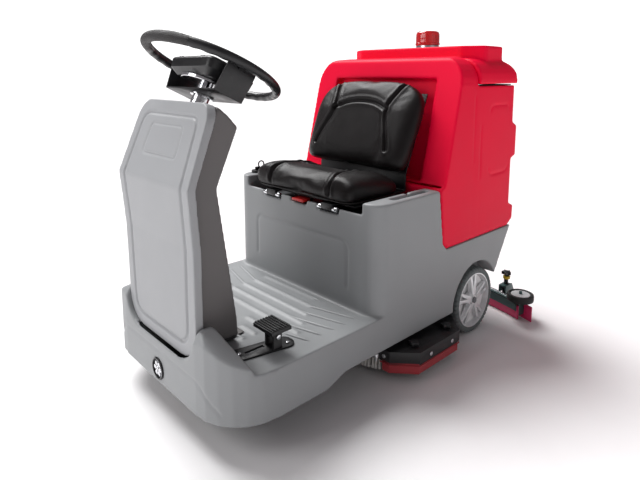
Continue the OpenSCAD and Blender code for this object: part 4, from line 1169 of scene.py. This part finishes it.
# squeegee
for node, name, width in (("squeegee_arm", "squeegeeArm", 0.001), ("squeegee_channel", "squeegeeChannel",
                                                                   0.0008),
                          ("squeegee_blades", "squeegeeBlades", 0.0004),
                          ("squeegee_knob_left", "squeegeeKnobLeft", 0.0015),
                          ("squeegee_knob_right", "squeegeeKnobRight", 0.0015),
                          ("suction_spout", "suctionSpout", 0.001)):
    standBevelled(node, name, width)
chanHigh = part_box("squeegee_blades")[1].z + 0.002
bow = {"radius": 1.28, "behindAxle": 0.318, "spread": 19.6, "steps": 96}
bowY = axleY + bow["behindAxle"] - bow["radius"]


def alongBow(name, inset, cross):
    # a section carried along the bow; cross holds (outward from the inset line, height) points
    bm = bmesh.new()
    rings = []
    for k in range(bow["steps"] + 1):
        a = math.radians(-bow["spread"] + 2 * bow["spread"] * k / bow["steps"])
        rings.append([bm.verts.new((math.sin(a) * (bow["radius"] - inset + dr),
                                    bowY + math.cos(a) * (bow["radius"] - inset + dr), z)) for dr,
                                    z in cross])
    skin(bm, rings, ends=True)
    return shade(fromBmesh(name, bm))


channelStrip = {"inset": 0.009, "section": [(-0.0065, 0.0), (0.0065, 0.0), (0.0065, 0.0016), (0.005, 0.0022),
                                            (-0.005, 0.0022), (-0.0065, 0.0016)]}
strip = alongBow("channelStrip", channelStrip["inset"],
                 [(dr, chanHigh + dz) for dr, dz in channelStrip["section"]])
place(strip, "squeegee", finishes["brushed"])
# the strap that clamps the front blade along the channel
strap = {"low": 0.034, "inset": 0.0312, "thick": 0.0024, "below": 0.004}
strapTop = chanHigh - strap["below"]
bladeStrap = alongBow("bladeStrap", strap["inset"], [(-strap["thick"], strap["low"]), (0, strap["low"]),
                                                     (0, strapTop), (-strap["thick"], strapTop)])
place(bladeStrap, "squeegee", finishes["tealSteel"])
for side, name in bothSides:
    low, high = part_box("castor_" + name)
    mid = middleOf(low, high)
    r = (high.z - low.z) / 2
    half = (high.x - low.x) / 2
    castor = lathe("castor_" + name + "_wheel", [(0.00506, -half), (0.014, -half), (0.0145, -half * 0.75),
                                                 (r - 0.012, -half * 0.7), (r - 0.010, -half * 0.95),
                                                 (r - 0.004, -half * 0.98), (r - 0.0008, -half * 0.6), (r, 0),
                                                 (r - 0.0008, half * 0.6), (r - 0.004, half * 0.98),
                                                 (r - 0.010, half * 0.95), (r - 0.012, half * 0.7),
                                                 (0.0145, half * 0.75), (0.014, half), (0.00506, half)], mid,
                                                 "X", 96)
    stand(castor, "castor_" + name)
    low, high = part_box("bumper_roller_" + name)
    mid = middleOf(low, high)
    r = (high.x - low.x) / 2
    half = (high.z - low.z) / 2

    def capRibs(rr, h, a, r=r):
        if 0.012 < rr < r - 0.014 and h > 0 and math.cos(a * 12) > 0.6:
            h += 0.0008
        return rr, h
    roller = lathe("roller_" + name, [(0.00606, -half + 0.0005), (r - 0.013, -half + 0.0005),
                                      (r - 0.012, -half + 0.003), (r - 0.007, -half),
                                      (r - 0.0012, -half + 0.003),
                                      (r, -half + 0.008), (r, half - 0.008), (r - 0.0012, half - 0.003),
                                      (r - 0.007, half), (r - 0.012, half - 0.003),
                                      (r - 0.013, half - 0.005), (0.011, half - 0.0035),
                                      (0.00606, half - 0.0035)], mid, "Z", 144)
    stand(roller, "bumper_roller_" + name)
    capPiece = lathe("rollerCap_" + name, [(0.0065, half - 0.0036), (0.0065, half - 0.0022),
                                           (r - 0.016, half - 0.0032), (r - 0.0145, half - 0.0046),
                                           (r - 0.0145, half - 0.0054)],
                     mid, "Z", 144, capRibs)
    place(capPiece, bodyOf["bumper_roller_" + name], finishes["silverRim"])
    kMid = middleOf(*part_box("squeegee_knob_" + name))
    collar = lathe("knobRing_" + name, [(0.0091, 0.120), (0.0135, 0.120), (0.0145, 0.121), (0.0145, 0.131),
                                        (0.0135, 0.132), (0.0091, 0.132)],
                   (kMid.x, kMid.y, 0), "Z", 48)
    place(collar, bodyOf["squeegee_knob_" + name], finishes["yellow"])
print("squeegee made")
